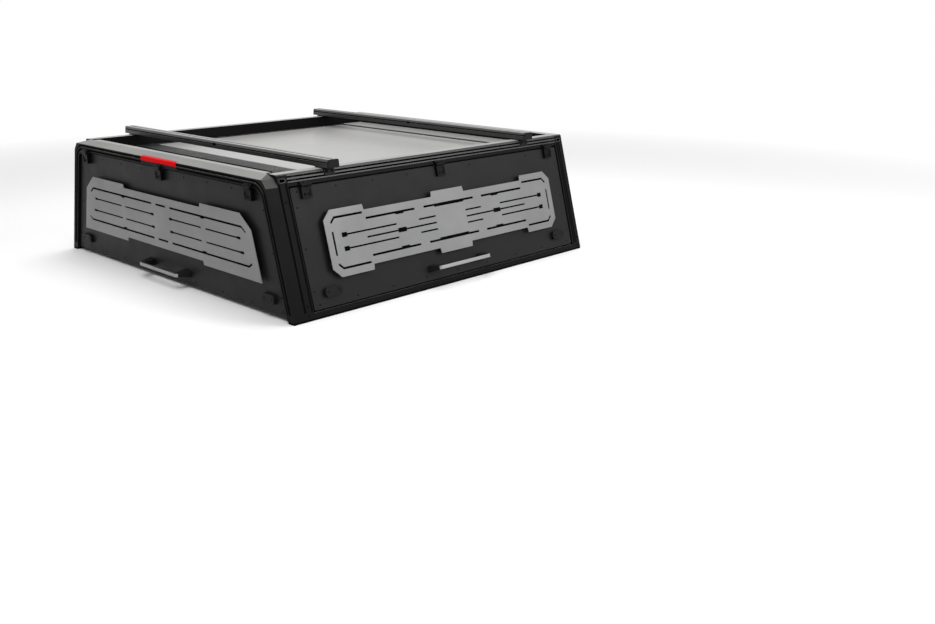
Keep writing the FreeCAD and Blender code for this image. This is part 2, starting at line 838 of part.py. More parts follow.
def build_roof():
    """The ribbed rear panel, the main panel and the bows under them."""
    half = RAIL_INNER - D.roof_joint
    start = D.rear_frame_depth + D.roof_joint
    end = start + D.rib_panel_length
    ribbed = node(Piece("roof_rib_panel", ROOF))
    floor = LEDGE_TOP + D.rib_panel_thickness - D.rib_height
    ribbed.pad("face", rectangle(start, end, -half, half), LEDGE_TOP, floor)
    ribs = Drawing()
    count = int((D.rib_panel_length.value - D.rib_width.value) // D.rib_pitch.value)
    margin = (D.rib_panel_length - count * D.rib_pitch - D.rib_width) / 2
    for number in range(count + 1):
        left = start + margin + number * D.rib_pitch
        ribs.box((left, -half + D.rib_pitch), (left + D.rib_width, half - D.rib_pitch))
    ribbed.pad("face", ribs, floor, floor + D.rib_height)

    panel = node(Piece("roof_panel", ROOF))
    front = BASE_LENGTH - D.rail_width - D.roof_joint
    panel.pad("face", rectangle(end + D.roof_joint, front, -half, half),
              LEDGE_TOP, LEDGE_TOP + D.roof_thickness)

    bows = []
    bow_half = RAIL_INNER - D.ledge_reach
    for name, place in (("rear", D.bar_rear), ("front", D.bar_front)):
        bow = Piece(f"bow_{name}", ROOF)
        bow.pad("face", rectangle(place - D.bow_width / 2, place + D.bow_width / 2, -bow_half, bow_half),
                LEDGE_TOP - D.bow_height, LEDGE_TOP)
        bows.append(bow)
    group("roof_bows", bows)


def bar_outline(place, base):
    """A cross bar's section with a track in its top and a groove in each side."""
    wide, narrow, high = D.bar_width / 2, D.bar_top_width / 2, D.bar_height
    groove_low = D.bar_groove_rise
    groove_high = groove_low + D.bar_groove_width
    groove_in = wide - D.bar_groove_depth
    mouth, cavity = D.bar_track_opening / 2, D.bar_track_cavity / 2
    ceiling = high - D.track_lip
    half = [(wide, 0), (wide, groove_low), (groove_in, groove_low), (groove_in, groove_high),
            (wide, groove_high), (narrow, high - D.bar_edge), (narrow - D.bar_edge, high),
            (mouth, high), (mouth, ceiling), (cavity, ceiling), (cavity, ceiling - D.track_depth)]
    points = [(place + across, base + up) for across, up in half]
    other = [(place - across, base + up) for across, up in reversed(half)]
    return drawn(*points, *other)


def build_cross_bars():
    """Two cross bars with end caps, on feet that wrap down over the rails' outer faces."""
    base = RAIL_TOP_UPRIGHT + D.bar_foot_height
    feet, caps = [], []
    bar_half = edge_at(RAIL_TOP_UPRIGHT) + D.bar_overhang
    wrap_low = RAIL_TOP_UPRIGHT - D.bar_foot_wrap
    plate = -D.bar_foot_plate
    inner = edge_at(RAIL_TOP_UPRIGHT) - D.bar_foot_width
    for name, place in (("rear", D.bar_rear), ("front", D.bar_front)):
        bar = node(Piece(f"cross_bar_{name}", ROOF))
        bar.pad("plan", bar_outline(place, base), -bar_half, bar_half)
        for side_name, side in (("right", -1), ("left", 1)):
            foot = Piece(f"bar_foot_{name}_{side_name}", ROOF)
            profile = [(edge_at(wrap_low), wrap_low), (edge_at(wrap_low, plate), wrap_low),
                       (edge_at(RAIL_TOP_UPRIGHT, plate), RAIL_TOP_UPRIGHT),
                       (edge_at(RAIL_TOP_UPRIGHT), base), (inner, base), (inner, RAIL_TOP_UPRIGHT),
                       (edge_at(RAIL_TOP_UPRIGHT), RAIL_TOP_UPRIGHT)]
            reach = D.bar_foot_length / 2
            foot.pad("section", drawn(*[(side * across, up) for across, up in profile]),
                     place - reach, place + reach)
            feet.append(foot)
            cap = Piece(f"bar_cap_{name}_{side_name}", ROOF)
            start, end = bar_half, bar_half + D.bar_cap_thickness
            if side < 0:
                start, end = -end, -start
            wide, narrow, high = D.bar_width / 2, D.bar_top_width / 2, base + D.bar_height
            edge = D.bar_edge
            cap.pad("plan", drawn(
                (place - wide, base), (place + wide, base), (place + narrow, high - edge),
                (place + narrow - edge, high), (place - narrow + edge, high),
                (place - narrow, high - edge)), start, end)
            caps.append(cap)
    group("cross_bar_feet", feet)
    group("cross_bar_caps", caps)


LINE, FINE, BLOCK, SQUARE = D.line_width, D.fine_width, D.block_width, D.square_width
BUMP = D.bump_width

# Slots of the side doors' plates from the plate's middle: row, start, end, width.
# Each is repeated to the other quarters that differ from it.
SIDE_SLOTS = (
    (73, 196, 454.5, LINE),
    (73, 256.5, 302, BUMP),
    (73, -146, 146, LINE),
    (73, -86, 86, BUMP),
    (27, 304.5, 560, FINE),
    (27, 558, 584, BLOCK),
    (27, 88, 184, FINE),
    (0, 88.5, 464, FINE),
    (0, 257, 302, BLOCK),
)
# Slots of the rear door's plate
REAR_SLOTS = (
    (73, 301, 330, BUMP),
    (73, -39, 39, LINE),
    (27, 61, 302, FINE),
    (27, 61, 85, SQUARE),
    (27, 335, 577, FINE),
    (27, 553, 577, SQUARE),
    (-27, 61, 302, FINE),
    (-27, 61, 85, SQUARE),
    (-27, 335, 595, FINE),
    (-27, 571, 595, SQUARE),
    (-74, 303, 332, BUMP),
    (-74, -39, 39, LINE),
)
# Bent lines of the rear door's plate: row, start, turn, and how far the bent end goes across and in
REAR_BENDS = (
    (73, 72, 585, 27, 18.5),
    (-74, 72, 623, 20, 13.5),
)


def slot_boxes(rows, middle, widths):
    """Slots of the given widths as boxes, each with its mirror image where it has one.

    A bump grows from its line towards the plate's middle.
    """
    drawing = Drawing()
    for row, start, end, width in rows:
        if width not in widths:
            continue
        low, high = middle + row - width / 2, middle + row + width / 2
        if width is BUMP:
            shift = (LINE - BUMP) / 2 * (1 if row > 0 else -1)
            low, high = low + shift, high + shift
        pairs = [(start, end)] if start == -end else [(start, end), (-end, -start)]
        for left, right in pairs:
            drawing.box((left, low), (right, high))
    return drawing


def bent_line(drawing, middle, row, start, turn, reach, drop):
    """A slot along a row whose end bends in towards the plate's middle, on both sides."""
    half = LINE / 2
    reach, drop, row = as_size(reach), as_size(drop), as_size(row)
    flip = 1 if row.value > 0 else -1
    length = hypotenuse(reach, drop)
    mitre = (length - reach) / drop * half
    across, up = drop / length * half, reach / length * half
    corners = [(start, half), (turn + mitre, half), (turn + reach + across, up - drop),
               (turn + reach - across, -up - drop), (turn - mitre, -half), (start, -half)]
    for side in (1, -1):
        drawing.loop([(side * place, middle + row + flip * level) for place, level in corners])


def plate_bosses(piece, middle, face, back):
    """The bosses that hold a plate off its door."""
    bosses = Drawing()
    for across in (-D.boss_far, -D.boss_near, as_size(0), D.boss_near, D.boss_far):
        for up in (-D.boss_row, D.boss_row):
            bosses.circle(across, middle + up, D.boss_radius)
    piece.pad("face", bosses, face, back)


def side_plate(piece, middle, face):
    """The outline of a side door's plate, its slots and its corner lines."""
    half_height, half = D.side_plate_height / 2, D.side_plate_half
    corner, slant = D.side_plate_corner, D.notch_slant
    inside = half_height - D.side_notch_depth
    start, end = D.side_notch_start, D.side_notch_end
    quarter = [(start - slant, half_height), (start, inside), (end, inside), (end + slant, half_height),
               (half - corner, half_height), (half, half_height - corner)]
    right_half = quarter + [(across, -up) for across, up in reversed(quarter)]
    whole = right_half + [(-across, -up) for across, up in right_half]
    back = face + D.plate_proud - D.plate_thickness
    front = face + D.plate_proud
    piece.pad("face", drawn(*[(across, middle + up) for across, up in whole]), back, front)
    rows = SIDE_SLOTS + tuple((-slot[0],) + slot[1:] for slot in SIDE_SLOTS if slot[0])
    piece.cut("face", slot_boxes(rows, middle, (LINE, FINE)), back, front)
    piece.cut("face", slot_boxes(rows, middle, (BUMP, BLOCK)), back, front)
    edge, level = half - D.plate_line_inset, half_height - D.plate_line_inset
    lines = Drawing()
    for side in (1, -1):
        left = side * edge - LINE / 2
        lines.box((left, middle - D.plate_line_upright), (left + LINE, middle + D.plate_line_upright))
    bend = D.plate_line_corner
    for row in (level, -level):
        bent_line(lines, middle, row, end + D.plate_line_gap, edge - bend, bend, bend)
    piece.cut("face", lines, back, front)
    plate_bosses(piece, middle, face, back)


def rear_plate(piece, middle, face):
    """The outline of the rear door's plate, and its slots."""
    half_height, low_half = D.rear_plate_height / 2, D.rear_plate_half
    notch_half, slant = D.rear_notch_half, D.notch_slant
    inside = half_height - D.rear_notch_depth
    shoulder = half_height - D.rear_corner_drop
    shoulder_half = low_half - (shoulder + half_height) * TAN
    right_half = [(notch_half, inside), (notch_half + slant, half_height),
                  (shoulder_half - D.rear_corner_reach, half_height), (shoulder_half, shoulder),
                  (low_half, -half_height), (notch_half + slant, -half_height),
                  (notch_half, -inside)]
    whole = right_half + [(-across, up) for across, up in reversed(right_half)]
    back = face + D.plate_proud - D.plate_thickness
    front = face + D.plate_proud
    piece.pad("face", drawn(*[(across, middle + up) for across, up in whole]), back, front)
    piece.cut("face", slot_boxes(REAR_SLOTS, middle, (LINE, FINE)), back, front)
    bends = Drawing()
    for bend in REAR_BENDS:
        bent_line(bends, middle, *bend)
    piece.cut("face", bends, back, front)
    piece.cut("face", slot_boxes(REAR_SLOTS, middle, (BUMP, SQUARE)), back, front)
    plate_bosses(piece, middle, face, back)


class Door:
    """One top hinged door: its panel, plate, handle, latch covers, hinges, seal and struts."""

    def __init__(self, name, station, recess, edge, low, top, radius, hinge_spread, sill):
        self.name = name
        self.station = station
        self.recess = recess
        self.edge = edge
        self.low, self.top = low, top
        self.radius = radius
        self.hinge_spread = hinge_spread
        self.face = -recess
        self.back = -recess - D.door_thickness
        self.axis_up = top + D.door_gap / 2
        self.axis_out = D.axis_out
        self.sill = sill

    def piece(self, what):
        """A piece of this door, in its station."""
        return Piece(f"{self.name}_{what}", self.station)

    def corners(self, inset, drop, radius_low, radius_top):
        """The door's outline, moved in from its edges."""
        low, top = self.low + drop, self.top - drop
        return [(-self.edge(low, inset), low, radius_low), (self.edge(low, inset), low, radius_low),
                (self.edge(top, inset), top, radius_top), (-self.edge(top, inset), top, radius_top)]

    def build_panel(self):
        """The panel, as thick as the door, with three trays pressed into its inner side."""
        panel = node(self.piece("panel"))
        panel.pad("face", drawn(*self.corners(0, 0, D.door_corner_radius, self.radius)),
                  self.back, self.face)
        border = D.tray_border
        low, top = self.low + border, self.top - border
        third = self.edge(top, border) / 3
        trays = Drawing()
        trays.box((-third, low), (third, top), D.tray_radius)
        start = third + border / 2
        for side in (1, -1):
            corners = [(start, low), (self.edge(low, border), low), (self.edge(top, border), top), (start, top)]
            trays.loop([(side * across, up, D.tray_radius) for across, up in corners])
        panel.cut("face", trays, self.back, self.back + D.tray_depth)

    def build_handle(self):
        """A bar with slanted ends on two tapered feet, with room for a hand behind it."""
        half = D.handle_length / 2
        middle = self.low + D.handle_rise
        out = self.face + D.handle_proud
        under = out - D.handle_thickness
        low, high = middle - D.handle_height / 2, middle + D.handle_height / 2
        bar = node(self.piece("handle"))
        bar.pad("plan", drawn(
            (-half, under), (half, under), (half - D.handle_slant, out), (D.handle_slant - half, out)),
            low, high)
        feet = []
        wide = D.handle_foot_height / 2
        taper = wide - D.handle_height / 2
        for side_name, side in (("first", 1), ("second", -1)):
            foot = self.piece(f"handle_foot_{side_name}")
            start = half - D.handle_foot_width
            end = half + D.handle_foot_spread
            foot.pad("plan", drawn(
                (side * start, self.face), (side * end, self.face), (side * half, under),
                (side * start, under)), middle - wide, middle + wide)
            start, end = (start, end) if side > 0 else (-end, -start)
            slopes = Drawing()
            for sign in (1, -1):
                edge = middle + sign * wide
                slopes.loop([(edge, self.face), (edge, under), (edge - sign * taper, under)])
            foot.cut("section", slopes, start, end)
            feet.append(foot)
        group(f"{self.name}_handle_feet", feet)

    def build_latch_covers(self):
        """Raised covers with round ends over the latches at the lower corners."""
        covers = []
        low = self.low + D.latch_rise
        place = self.edge(low, 0) - D.latch_inset
        half = D.latch_width / 2
        for side_name, side in (("first", 1), ("second", -1)):
            cover = self.piece(f"latch_cover_{side_name}")
            cover.pad("face", rectangle(side * place - half, side * place + half,
                                        low, low + D.latch_height, D.latch_radius),
                      self.face, self.face + D.latch_proud)
            covers.append(cover)
        group(f"{self.name}_latch_covers", covers)

    def build_hinges(self):
        """Three hinges: the leaf with the pin on the frame, the leaf with two knuckles on the door."""
        frame_leaves, door_leaves = [], []
        half, middle = D.hinge_width / 2, D.knuckle_middle / 2
        up, out = self.axis_up, self.axis_out
        for number, place in enumerate((-self.hinge_spread, as_size(0), self.hinge_spread), start=1):
            frame_leaf = self.piece(f"frame_leaf{number}")
            land = -D.land_depth if self.recess is D.side_recess else as_size(0)
            start = up + D.leaf_start
            frame_leaf.pad("section", rectangle(start, start + D.leaf_rise, land, D.leaf_thickness),
                           place - half, place + half)
            frame_leaf.pad("section", rectangle(up, start + D.leaf_rise / 2, land + 1, out),
                           place - middle, place + middle)
            frame_leaf.pad("section", disc(up, out, D.knuckle_radius), place - middle, place + middle)
            frame_leaf.pad("section", disc(up, out, D.pin_radius), place - half, place + half)
            frame_leaves.append(frame_leaf)

            door_leaf = self.piece(f"door_leaf{number}")
            start = up - D.leaf_start
            end = up - D.leaf_drop
            door_leaf.pad("section", rectangle(end, start, self.face, out), place - half, place + half)
            border = D.leaf_border
            door_leaf.cut("face", rectangle(
                place - half + border, place + half - border, end + border, start - border),
                out - D.leaf_pocket, out)
            for low, high in ((place - half, place - middle - D.knuckle_gap),
                              (place + middle + D.knuckle_gap, place + half)):
                door_leaf.pad("section", rectangle(start - 2, up, out - D.knuckle_radius, out), low, high)
                door_leaf.pad("section", disc(up, out, D.knuckle_radius), low, high)
            door_leaf.cut("section", disc(up, out, D.pin_radius + D.pin_clearance),
                          place - half, place + half)
            door_leaves.append(door_leaf)
        group(f"{self.name}_hinge_leaves", door_leaves)
        return frame_leaves

    def build_seal(self):
        """A rubber ring on the frame's jamb, against the door's inner edge."""
        seal = self.piece("seal")
        clear, width = D.soft_clearance, D.seal_width
        outer = self.corners(0, 0, D.door_corner_radius, self.radius)
        if self.sill:
            ring = drawn(*outer)
            ring.loop(self.corners(width, width, D.door_corner_radius / 2, self.radius / 2))
        else:
            foot = D.foot_height
            inner_low, inner_high = self.edge(foot, width), self.edge(self.top - width, width)
            ring = drawn(
                (self.edge(foot, 0), foot), outer[2], outer[3], (-self.edge(foot, 0), foot),
                (-inner_low, foot), (-inner_high, self.top - width, self.radius - width),
                (inner_high, self.top - width, self.radius - width), (inner_low, foot))
        seal.pad("face", ring, self.back - D.seal_space, self.back - clear)
        return seal

    def strut_line(self):
        """Both pivots of a closed strut, its length and its angle from up towards out."""
        frame_up, frame_out = self.axis_up - D.strut_frame_down, self.axis_out - D.strut_frame_in
        door_up, door_out = self.axis_up - D.strut_door_down, self.axis_out - D.strut_door_in
        length = hypotenuse(door_up - frame_up, door_out - frame_out)
        angle = math.atan2((door_out - frame_out).value, (door_up - frame_up).value)
        return frame_up, frame_out, door_up, door_out, length, angle

    def build_struts(self, post_face):
        """Two gas struts, their brackets on the door, and the arms that carry them on the posts."""
        frame_up, frame_out, door_up, door_out, length, angle = self.strut_line()
        plane = self.edge(door_up, 0) - D.strut_edge
        half_eye = D.eye_width / 2
        arms, brackets = [], []
        for side_name, side in (("first", 1), ("second", -1)):
            station = self.station.turned(side * plane, frame_up, frame_out, angle)
            tube = node(Piece(f"{self.name}_strut_tube_{side_name}", station))
            tube.pad("section", disc(0, 0, D.eye_radius), -half_eye, half_eye)
            tube.pad("plan", disc(0, 0, D.neck_radius), D.eye_radius / 2, D.tube_start)
            tube.pad("plan", disc(0, 0, D.tube_radius), D.tube_start, D.tube_length)
            tube.cut("plan", disc(0, 0, D.tube_bore), D.tube_floor, D.tube_length)
            tube.cut("section", disc(0, 0, D.stud_radius + D.stud_clearance),
                     -D.tube_radius, D.tube_radius)

            rod = node(Piece(f"{self.name}_strut_rod_{side_name}", station))
            rod.pad("plan", disc(0, 0, D.rod_radius), length - D.rod_length, length - D.eye_radius / 2)
            rod.pad("section", disc(length, 0, D.eye_radius), -half_eye, half_eye)
            near, far = half_eye, half_eye + D.bracket_thickness
            stud = (near, far) if side > 0 else (-far, -near)
            rod.pad("section", disc(length, 0, D.stud_radius), *stud)

            near = plane + far + D.soft_clearance
            far = near + D.bracket_thickness
            start, end = (near, far) if side > 0 else (-far, -near)
            wide = D.bracket_width / 2
            radius = wide * ROUND
            tip = door_out - wide
            bracket = self.piece(f"strut_bracket_{side_name}")
            bracket.pad("section", drawn(
                (door_up - wide, self.back), (door_up + wide, self.back),
                (door_up + wide, tip, radius), (door_up - wide, tip, radius)), start, end)
            brackets.append(bracket)

            arm = self.piece(f"strut_arm_{side_name}")
            wide = D.arm_width / 2
            inner = plane + half_eye + D.knuckle_gap
            low, high = frame_up - wide, frame_up + wide
            corners = [(inner, low), (post_face(low), low), (post_face(high), high), (inner, high)]
            arm.pad("face", drawn(*[(side * across, height) for across, height in corners]),
                    frame_out - wide, frame_out + wide)
            start, end = plane - half_eye - D.bracket_thickness / 2, inner
            if side < 0:
                start, end = -end, -start
            arm.pad("section", disc(frame_up, frame_out, D.stud_radius), start, end)
            arms.append(arm)
        group(f"{self.name}_strut_brackets", brackets)
        return arms


def straight_edge(height, inset=0):
    """Half the length of a side door, the same at every height."""
    return DOOR_HALF - inset


def rear_edge(height, inset=0):
    """Half the width of the rear door at a height."""
    return edge_at(height, D.rear_border + D.door_gap + inset)


DOORS = (
    Door("rear_door", REAR, D.rear_recess, rear_edge, D.rear_door_clear,
         RAIL_LOW_UPRIGHT - D.door_gap, D.portal_radius - D.door_gap, D.rear_hinge_spread, False),
    Door("right_door", SIDES["right"], D.side_recess, straight_edge, SIDE_DOOR_LOW,
         SIDE_DOOR_TOP, D.door_corner_radius, D.side_hinge_spread, True),
    Door("left_door", SIDES["left"], D.side_recess, straight_edge, SIDE_DOOR_LOW,
         SIDE_DOOR_TOP, D.door_corner_radius, D.side_hinge_spread, True),
)


def build_doors():
    """All three doors, with what they share on the frame."""
    leaves, arms, seals = [], [], []
    for door in DOORS:
        door.build_panel()
        plate = node(door.piece("plate"))
        if door.name == "rear_door":
            rear_plate(plate, D.rear_plate_middle, door.face)
        else:
            side_plate(plate, D.side_plate_middle, door.face)
        door.build_handle()
        door.build_latch_covers()
        leaves += door.build_hinges()
        seals.append(door.build_seal())
        if door.name == "rear_door":
            arms += door.build_struts(lambda height: edge_at(height, D.post_depth))
        else:
            arms += door.build_struts(lambda height: OPENING_HALF)
    group("frame_hinge_leaves", leaves)
    group("strut_arms", arms)
    group("door_seals", seals)


def check_and_export():
    """Stop if any object failed, any cut took nothing or any shape is bad; then write the nodes."""
    for item in doc.Objects:
        for word in ("Invalid", "Error"):
            if word in item.State:
                raise RuntimeError(f"{item.Label} is {item.State}")
    for before, cut in cuts_to_check:
        if cut.Shape.Volume > before.Shape.Volume - 1:
            raise RuntimeError(f"{cut.Label} took nothing away")
    os.makedirs("parts", exist_ok=True)
    for item in nodes:
        shape = item.Shape
        if shape.isNull() or not shape.isValid() or not shape.Solids:
            raise RuntimeError(f"{item.Label} has a bad shape")
        shape.exportStep(os.path.join("parts", f"{item.Label}.step"))
    print(f"{len(nodes)} nodes, {sum(len(item.Shape.Solids) for item in nodes)} solids")


build_base()
build_side_frames()
build_rear_portal()
build_front()
build_roof()
build_cross_bars()
build_doors()
doc.recompute()
check_and_export()
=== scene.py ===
"""Looks of the truck canopy: its finishes, fasteners and trim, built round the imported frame."""

import json
import logging
import math
from dataclasses import dataclass
from enum import Enum
from typing import Any, Sequence

import bmesh
import bpy
from mathutils import Matrix, Vector

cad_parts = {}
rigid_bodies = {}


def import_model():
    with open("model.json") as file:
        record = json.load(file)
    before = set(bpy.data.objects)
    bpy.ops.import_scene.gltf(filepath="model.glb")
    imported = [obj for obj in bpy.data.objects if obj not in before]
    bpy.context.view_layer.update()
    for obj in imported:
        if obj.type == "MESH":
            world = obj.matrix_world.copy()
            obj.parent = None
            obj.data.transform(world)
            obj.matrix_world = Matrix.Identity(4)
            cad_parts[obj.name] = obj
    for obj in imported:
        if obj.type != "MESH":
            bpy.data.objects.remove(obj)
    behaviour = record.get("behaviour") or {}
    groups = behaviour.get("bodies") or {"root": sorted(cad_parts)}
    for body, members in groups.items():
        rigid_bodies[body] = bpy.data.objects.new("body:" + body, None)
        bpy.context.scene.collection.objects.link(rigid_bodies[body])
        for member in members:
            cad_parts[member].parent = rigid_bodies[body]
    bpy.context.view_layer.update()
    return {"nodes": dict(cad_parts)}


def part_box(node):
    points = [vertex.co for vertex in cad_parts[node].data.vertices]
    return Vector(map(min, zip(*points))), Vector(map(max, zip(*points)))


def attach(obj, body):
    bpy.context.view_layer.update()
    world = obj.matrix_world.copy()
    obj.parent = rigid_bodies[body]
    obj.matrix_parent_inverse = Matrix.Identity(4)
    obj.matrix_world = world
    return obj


for leftover in list(bpy.data.objects):
    bpy.data.objects.remove(leftover)
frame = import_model()

log = logging.getLogger("canopy")
Point = tuple[float, float]
Colour = tuple[float, float, float]

# Pale grey of the painted sheen on upward faces, standing in for the sky's reflection.
SHEEN_GREY: Colour = (0.42, 0.415, 0.405)
REARWARD = Vector((-1, 0, 0))
HEAD_SIDES = 18


class NodeSheet:
    """A material's node tree, with short calls that fill it."""

    def __init__(self, name: str) -> None:
        """Start a material with its shader and the place on the object."""
        self.material = bpy.data.materials.new(name)
        self.material.use_nodes = True
        self.tree = self.material.node_tree
        self.shader = self.tree.nodes["Principled BSDF"]
        self.place = self.add("ShaderNodeTexCoord").outputs["Object"]

    def add(self, kind: str, **settings: Any) -> bpy.types.Node:
        """Add a node and set its own choices."""
        node = self.tree.nodes.new(kind)
        for key, value in settings.items():
            setattr(node, key, value)
        return node

    def join(self, source: Any, target: bpy.types.NodeSocket) -> None:
        """Link a socket to another, or set a plain value on it."""
        if isinstance(source, bpy.types.NodeSocket):
            self.tree.links.new(source, target)
        else:
            target.default_value = source

    def set(self, **values: Any) -> None:
        """Set the shader's sockets, named with underscores for spaces."""
        for key, value in values.items():
            self.join(value, self.shader.inputs[key.replace("_", " ")])

    def noise(self, size: float, detail: float = 2.0, stretch: Colour = (1, 1, 1)) -> Any:
        """Smooth noise with features of one size.

        Args:
            size: Width of a feature in metres.
            detail: How many finer layers it has.
            stretch: How many times longer the features are along each axis.

        Returns:
            The noise's value, from 0 to 1.
        """
        spread = self.add("ShaderNodeMapping")
        spread.inputs["Scale"].default_value = [1 / (size * times) for times in stretch]
        self.join(self.place, spread.inputs["Vector"])
        noise = self.add("ShaderNodeTexNoise")
        noise.inputs["Scale"].default_value = 1.0
        noise.inputs["Detail"].default_value = detail
        self.join(spread.outputs["Vector"], noise.inputs["Vector"])
        return noise.outputs["Fac"]

    def cells(self, size: float) -> Any:
        """Distance to the nearest of scattered points, for pits and flakes."""
        cells = self.add("ShaderNodeTexVoronoi", feature="F1")
        cells.inputs["Scale"].default_value = 1 / size
        self.join(self.place, cells.inputs["Vector"])
        return cells.outputs["Distance"]

    def spread(self, source: Any, low: float, high: float, start: float, end: float) -> Any:
        """Carry a range of values over to another.

        Args:
            source: The value to carry.
            low: Where the source's range starts.
            high: Where the source's range ends.
            start: The result at the low end.
            end: The result at the high end.

        Returns:
            The new value.
        """
        node = self.add("ShaderNodeMapRange")
        for key, value in zip(("From Min", "From Max", "To Min", "To Max"), (low, high, start, end)):
            node.inputs[key].default_value = value
        self.join(source, node.inputs["Value"])
        return node.outputs["Result"]

    def sum(self, first: Any, second: Any, how: str = "ADD") -> Any:
        """Two values put together by one sum."""
        node = self.add("ShaderNodeMath", operation=how)
        self.join(first, node.inputs[0])
        self.join(second, node.inputs[1])
        return node.outputs[0]

    def blend(self, share: Any, first: Any, second: Any) -> Any:
        """A colour between two others.

        Args:
            share: 0 gives the first colour and 1 the second.
            first: The first colour.
            second: The second colour.

        Returns:
            The colour in between.
        """
        node = self.add("ShaderNodeMix", data_type="RGBA")
        self.join(share, node.inputs[0])
        for socket, colour in ((node.inputs[6], first), (node.inputs[7], second)):
            self.join((*colour, 1.0) if isinstance(colour, tuple) else colour, socket)
        return node.outputs[2]

    def edges(self, radius: float) -> tuple[Any, Any]:
        """Soft edges for the light to catch, and a mask that is 1 on them.

        Args:
            radius: Radius of the soft edge in metres.

        Returns:
            The rounded normal and the mask.
        """
        soft = self.add("ShaderNodeBevel", samples=6)
        soft.inputs["Radius"].default_value = radius
        flat = self.add("ShaderNodeNewGeometry").outputs["Normal"]
        likeness = self.add("ShaderNodeVectorMath", operation="DOT_PRODUCT")
        self.join(soft.outputs["Normal"], likeness.inputs[0])
        self.join(flat, likeness.inputs[1])
        return soft.outputs["Normal"], self.spread(likeness.outputs["Value"], 0.82, 0.99, 1.0, 0.0)

    def painted_top_sheen(self, share: float) -> Any:
        """A cloudy painted sheen on level faces, standing in for the sky's reflection, none on steep ones.

        Args:
            share: How much of the face the painted sheen hides where it is strongest.

        Returns:
            The painted sheen's cover, from 0 to the share.
        """
        normal = self.add("ShaderNodeNewGeometry").outputs["Normal"]
        parts = self.add("ShaderNodeSeparateXYZ")
        self.join(normal, parts.inputs[0])
        level = self.sum(self.spread(parts.outputs["Z"], 0.93, 0.99, 0.0, share),
                         self.spread(parts.outputs["Z"], 0.34, 0.60, 0.0, share * 0.2), "MAXIMUM")
        return self.sum(level, self.spread(self.noise(0.35, 3), 0.3, 0.7, 0.8, 1.0), "MULTIPLY")

    def relief(self, height: Any, depth: float, normal: Any) -> None:
        """Raise the surface by a height."""
        bump = self.add("ShaderNodeBump")
        bump.inputs["Distance"].default_value = depth
        self.join(height, bump.inputs["Height"])
        self.join(normal, bump.inputs["Normal"])
        self.join(bump.outputs["Normal"], self.shader.inputs["Normal"])


def shade(colour: Colour, times: float) -> Colour:
    """The colour, lighter or darker by a factor."""
    return tuple(min(1.0, part * times) for part in colour)


@dataclass(frozen=True)
class Finish:
    """A finish with a colour, how rough it is and the size of its grain."""

    name: str
    colour: Colour
    roughness: float
    grain: float

    def make(self) -> bpy.types.Material:
        """The finish as a material."""
        sheet = NodeSheet(self.name)
        self.fill(sheet)
        return sheet.material

    def fill(self, sheet: NodeSheet) -> None:
        """Fill the material's nodes."""
        raise NotImplementedError


@dataclass(frozen=True)
class PowderCoat(Finish):
    """Baked powder paint: a fine orange peel, uneven gloss, and lighter edges that are partly wear and partly a
    painted highlight.
    """

    relief: float = 0.00006
    edge_wear_and_highlight: float = 1.8
    metallic: float = 0.0
    gloss: float = 0.5
    soft_edge: float = 0.0012
    top_sheen: float = 0.0
    patchy: float = 0.055
    cloud: float = 0.13

    def fill(self, sheet: NodeSheet) -> None:
        """Grain and pits in the relief, a cloudy tone, lighter edges that are partly wear and partly a painted
        highlight, and a painted sheen on what faces up.
        """
        normal, edges = sheet.edges(self.soft_edge)
        cloud = sheet.noise(0.22, 3)
        grain = sheet.noise(self.grain, 2)
        pits = sheet.cells(self.grain * 1.7)
        tone = sheet.blend(sheet.spread(cloud, 0.3, 0.7, 0.0, 1.0), shade(self.colour, 1 - self.cloud),
                           shade(self.colour, 1 + self.cloud))
        speckle = sheet.blend(sheet.spread(grain, 0.35, 0.75, 0.0, 0.35), tone, shade(self.colour, 1.5))
        # Lighter edges: partly worn paint, partly a painted highlight along them.
        worn_and_lit_edges = sheet.sum(edges, sheet.spread(sheet.noise(0.03, 4), 0.35, 0.65, 0.2, 1.0), "MULTIPLY")
        colour = sheet.blend(worn_and_lit_edges, speckle, shade(self.colour, self.edge_wear_and_highlight))
        # Painted sheen: upward faces are lightened towards pale grey, standing in for the sky's reflection.
        if self.top_sheen:
            colour = sheet.blend(sheet.painted_top_sheen(self.top_sheen), colour, SHEEN_GREY)
        low, high = self.roughness - self.patchy, self.roughness + self.patchy
        uneven = sheet.spread(sheet.noise(0.09, 4), 0.3, 0.7, low, high)
        sheet.set(Base_Color=colour, Roughness=uneven, Metallic=self.metallic, Specular_IOR_Level=self.gloss)
        sheet.relief(sheet.sum(grain, pits, "MULTIPLY"), self.relief, normal)


@dataclass(frozen=True)
class BrushedMetal(Finish):
    """Bare metal brushed along one axis."""

    stretch: Colour = (60, 1, 1)

    def fill(self, sheet: NodeSheet) -> None:
        """Long streaks in colour, gloss and relief, and edges lightened as a painted highlight."""
        normal, edges = sheet.edges(0.0008)
        streaks = sheet.noise(self.grain, 3, self.stretch)
        wide = sheet.noise(self.grain * 6, 2, self.stretch)
        share = sheet.spread(streaks, 0.3, 0.7, 0, 1)
        colour = sheet.blend(share, shade(self.colour, 0.82), shade(self.colour, 1.12))
        # Painted highlight: the colour is lighter along the edges.
        colour = sheet.blend(sheet.sum(edges, 0.6, "MULTIPLY"), colour, shade(self.colour, 1.3))
        rough = sheet.spread(wide, 0.3, 0.7, self.roughness - 0.06, self.roughness + 0.08)
        sheet.set(Base_Color=colour, Roughness=rough, Metallic=1.0)
        sheet.relief(streaks, 0.00003, normal)


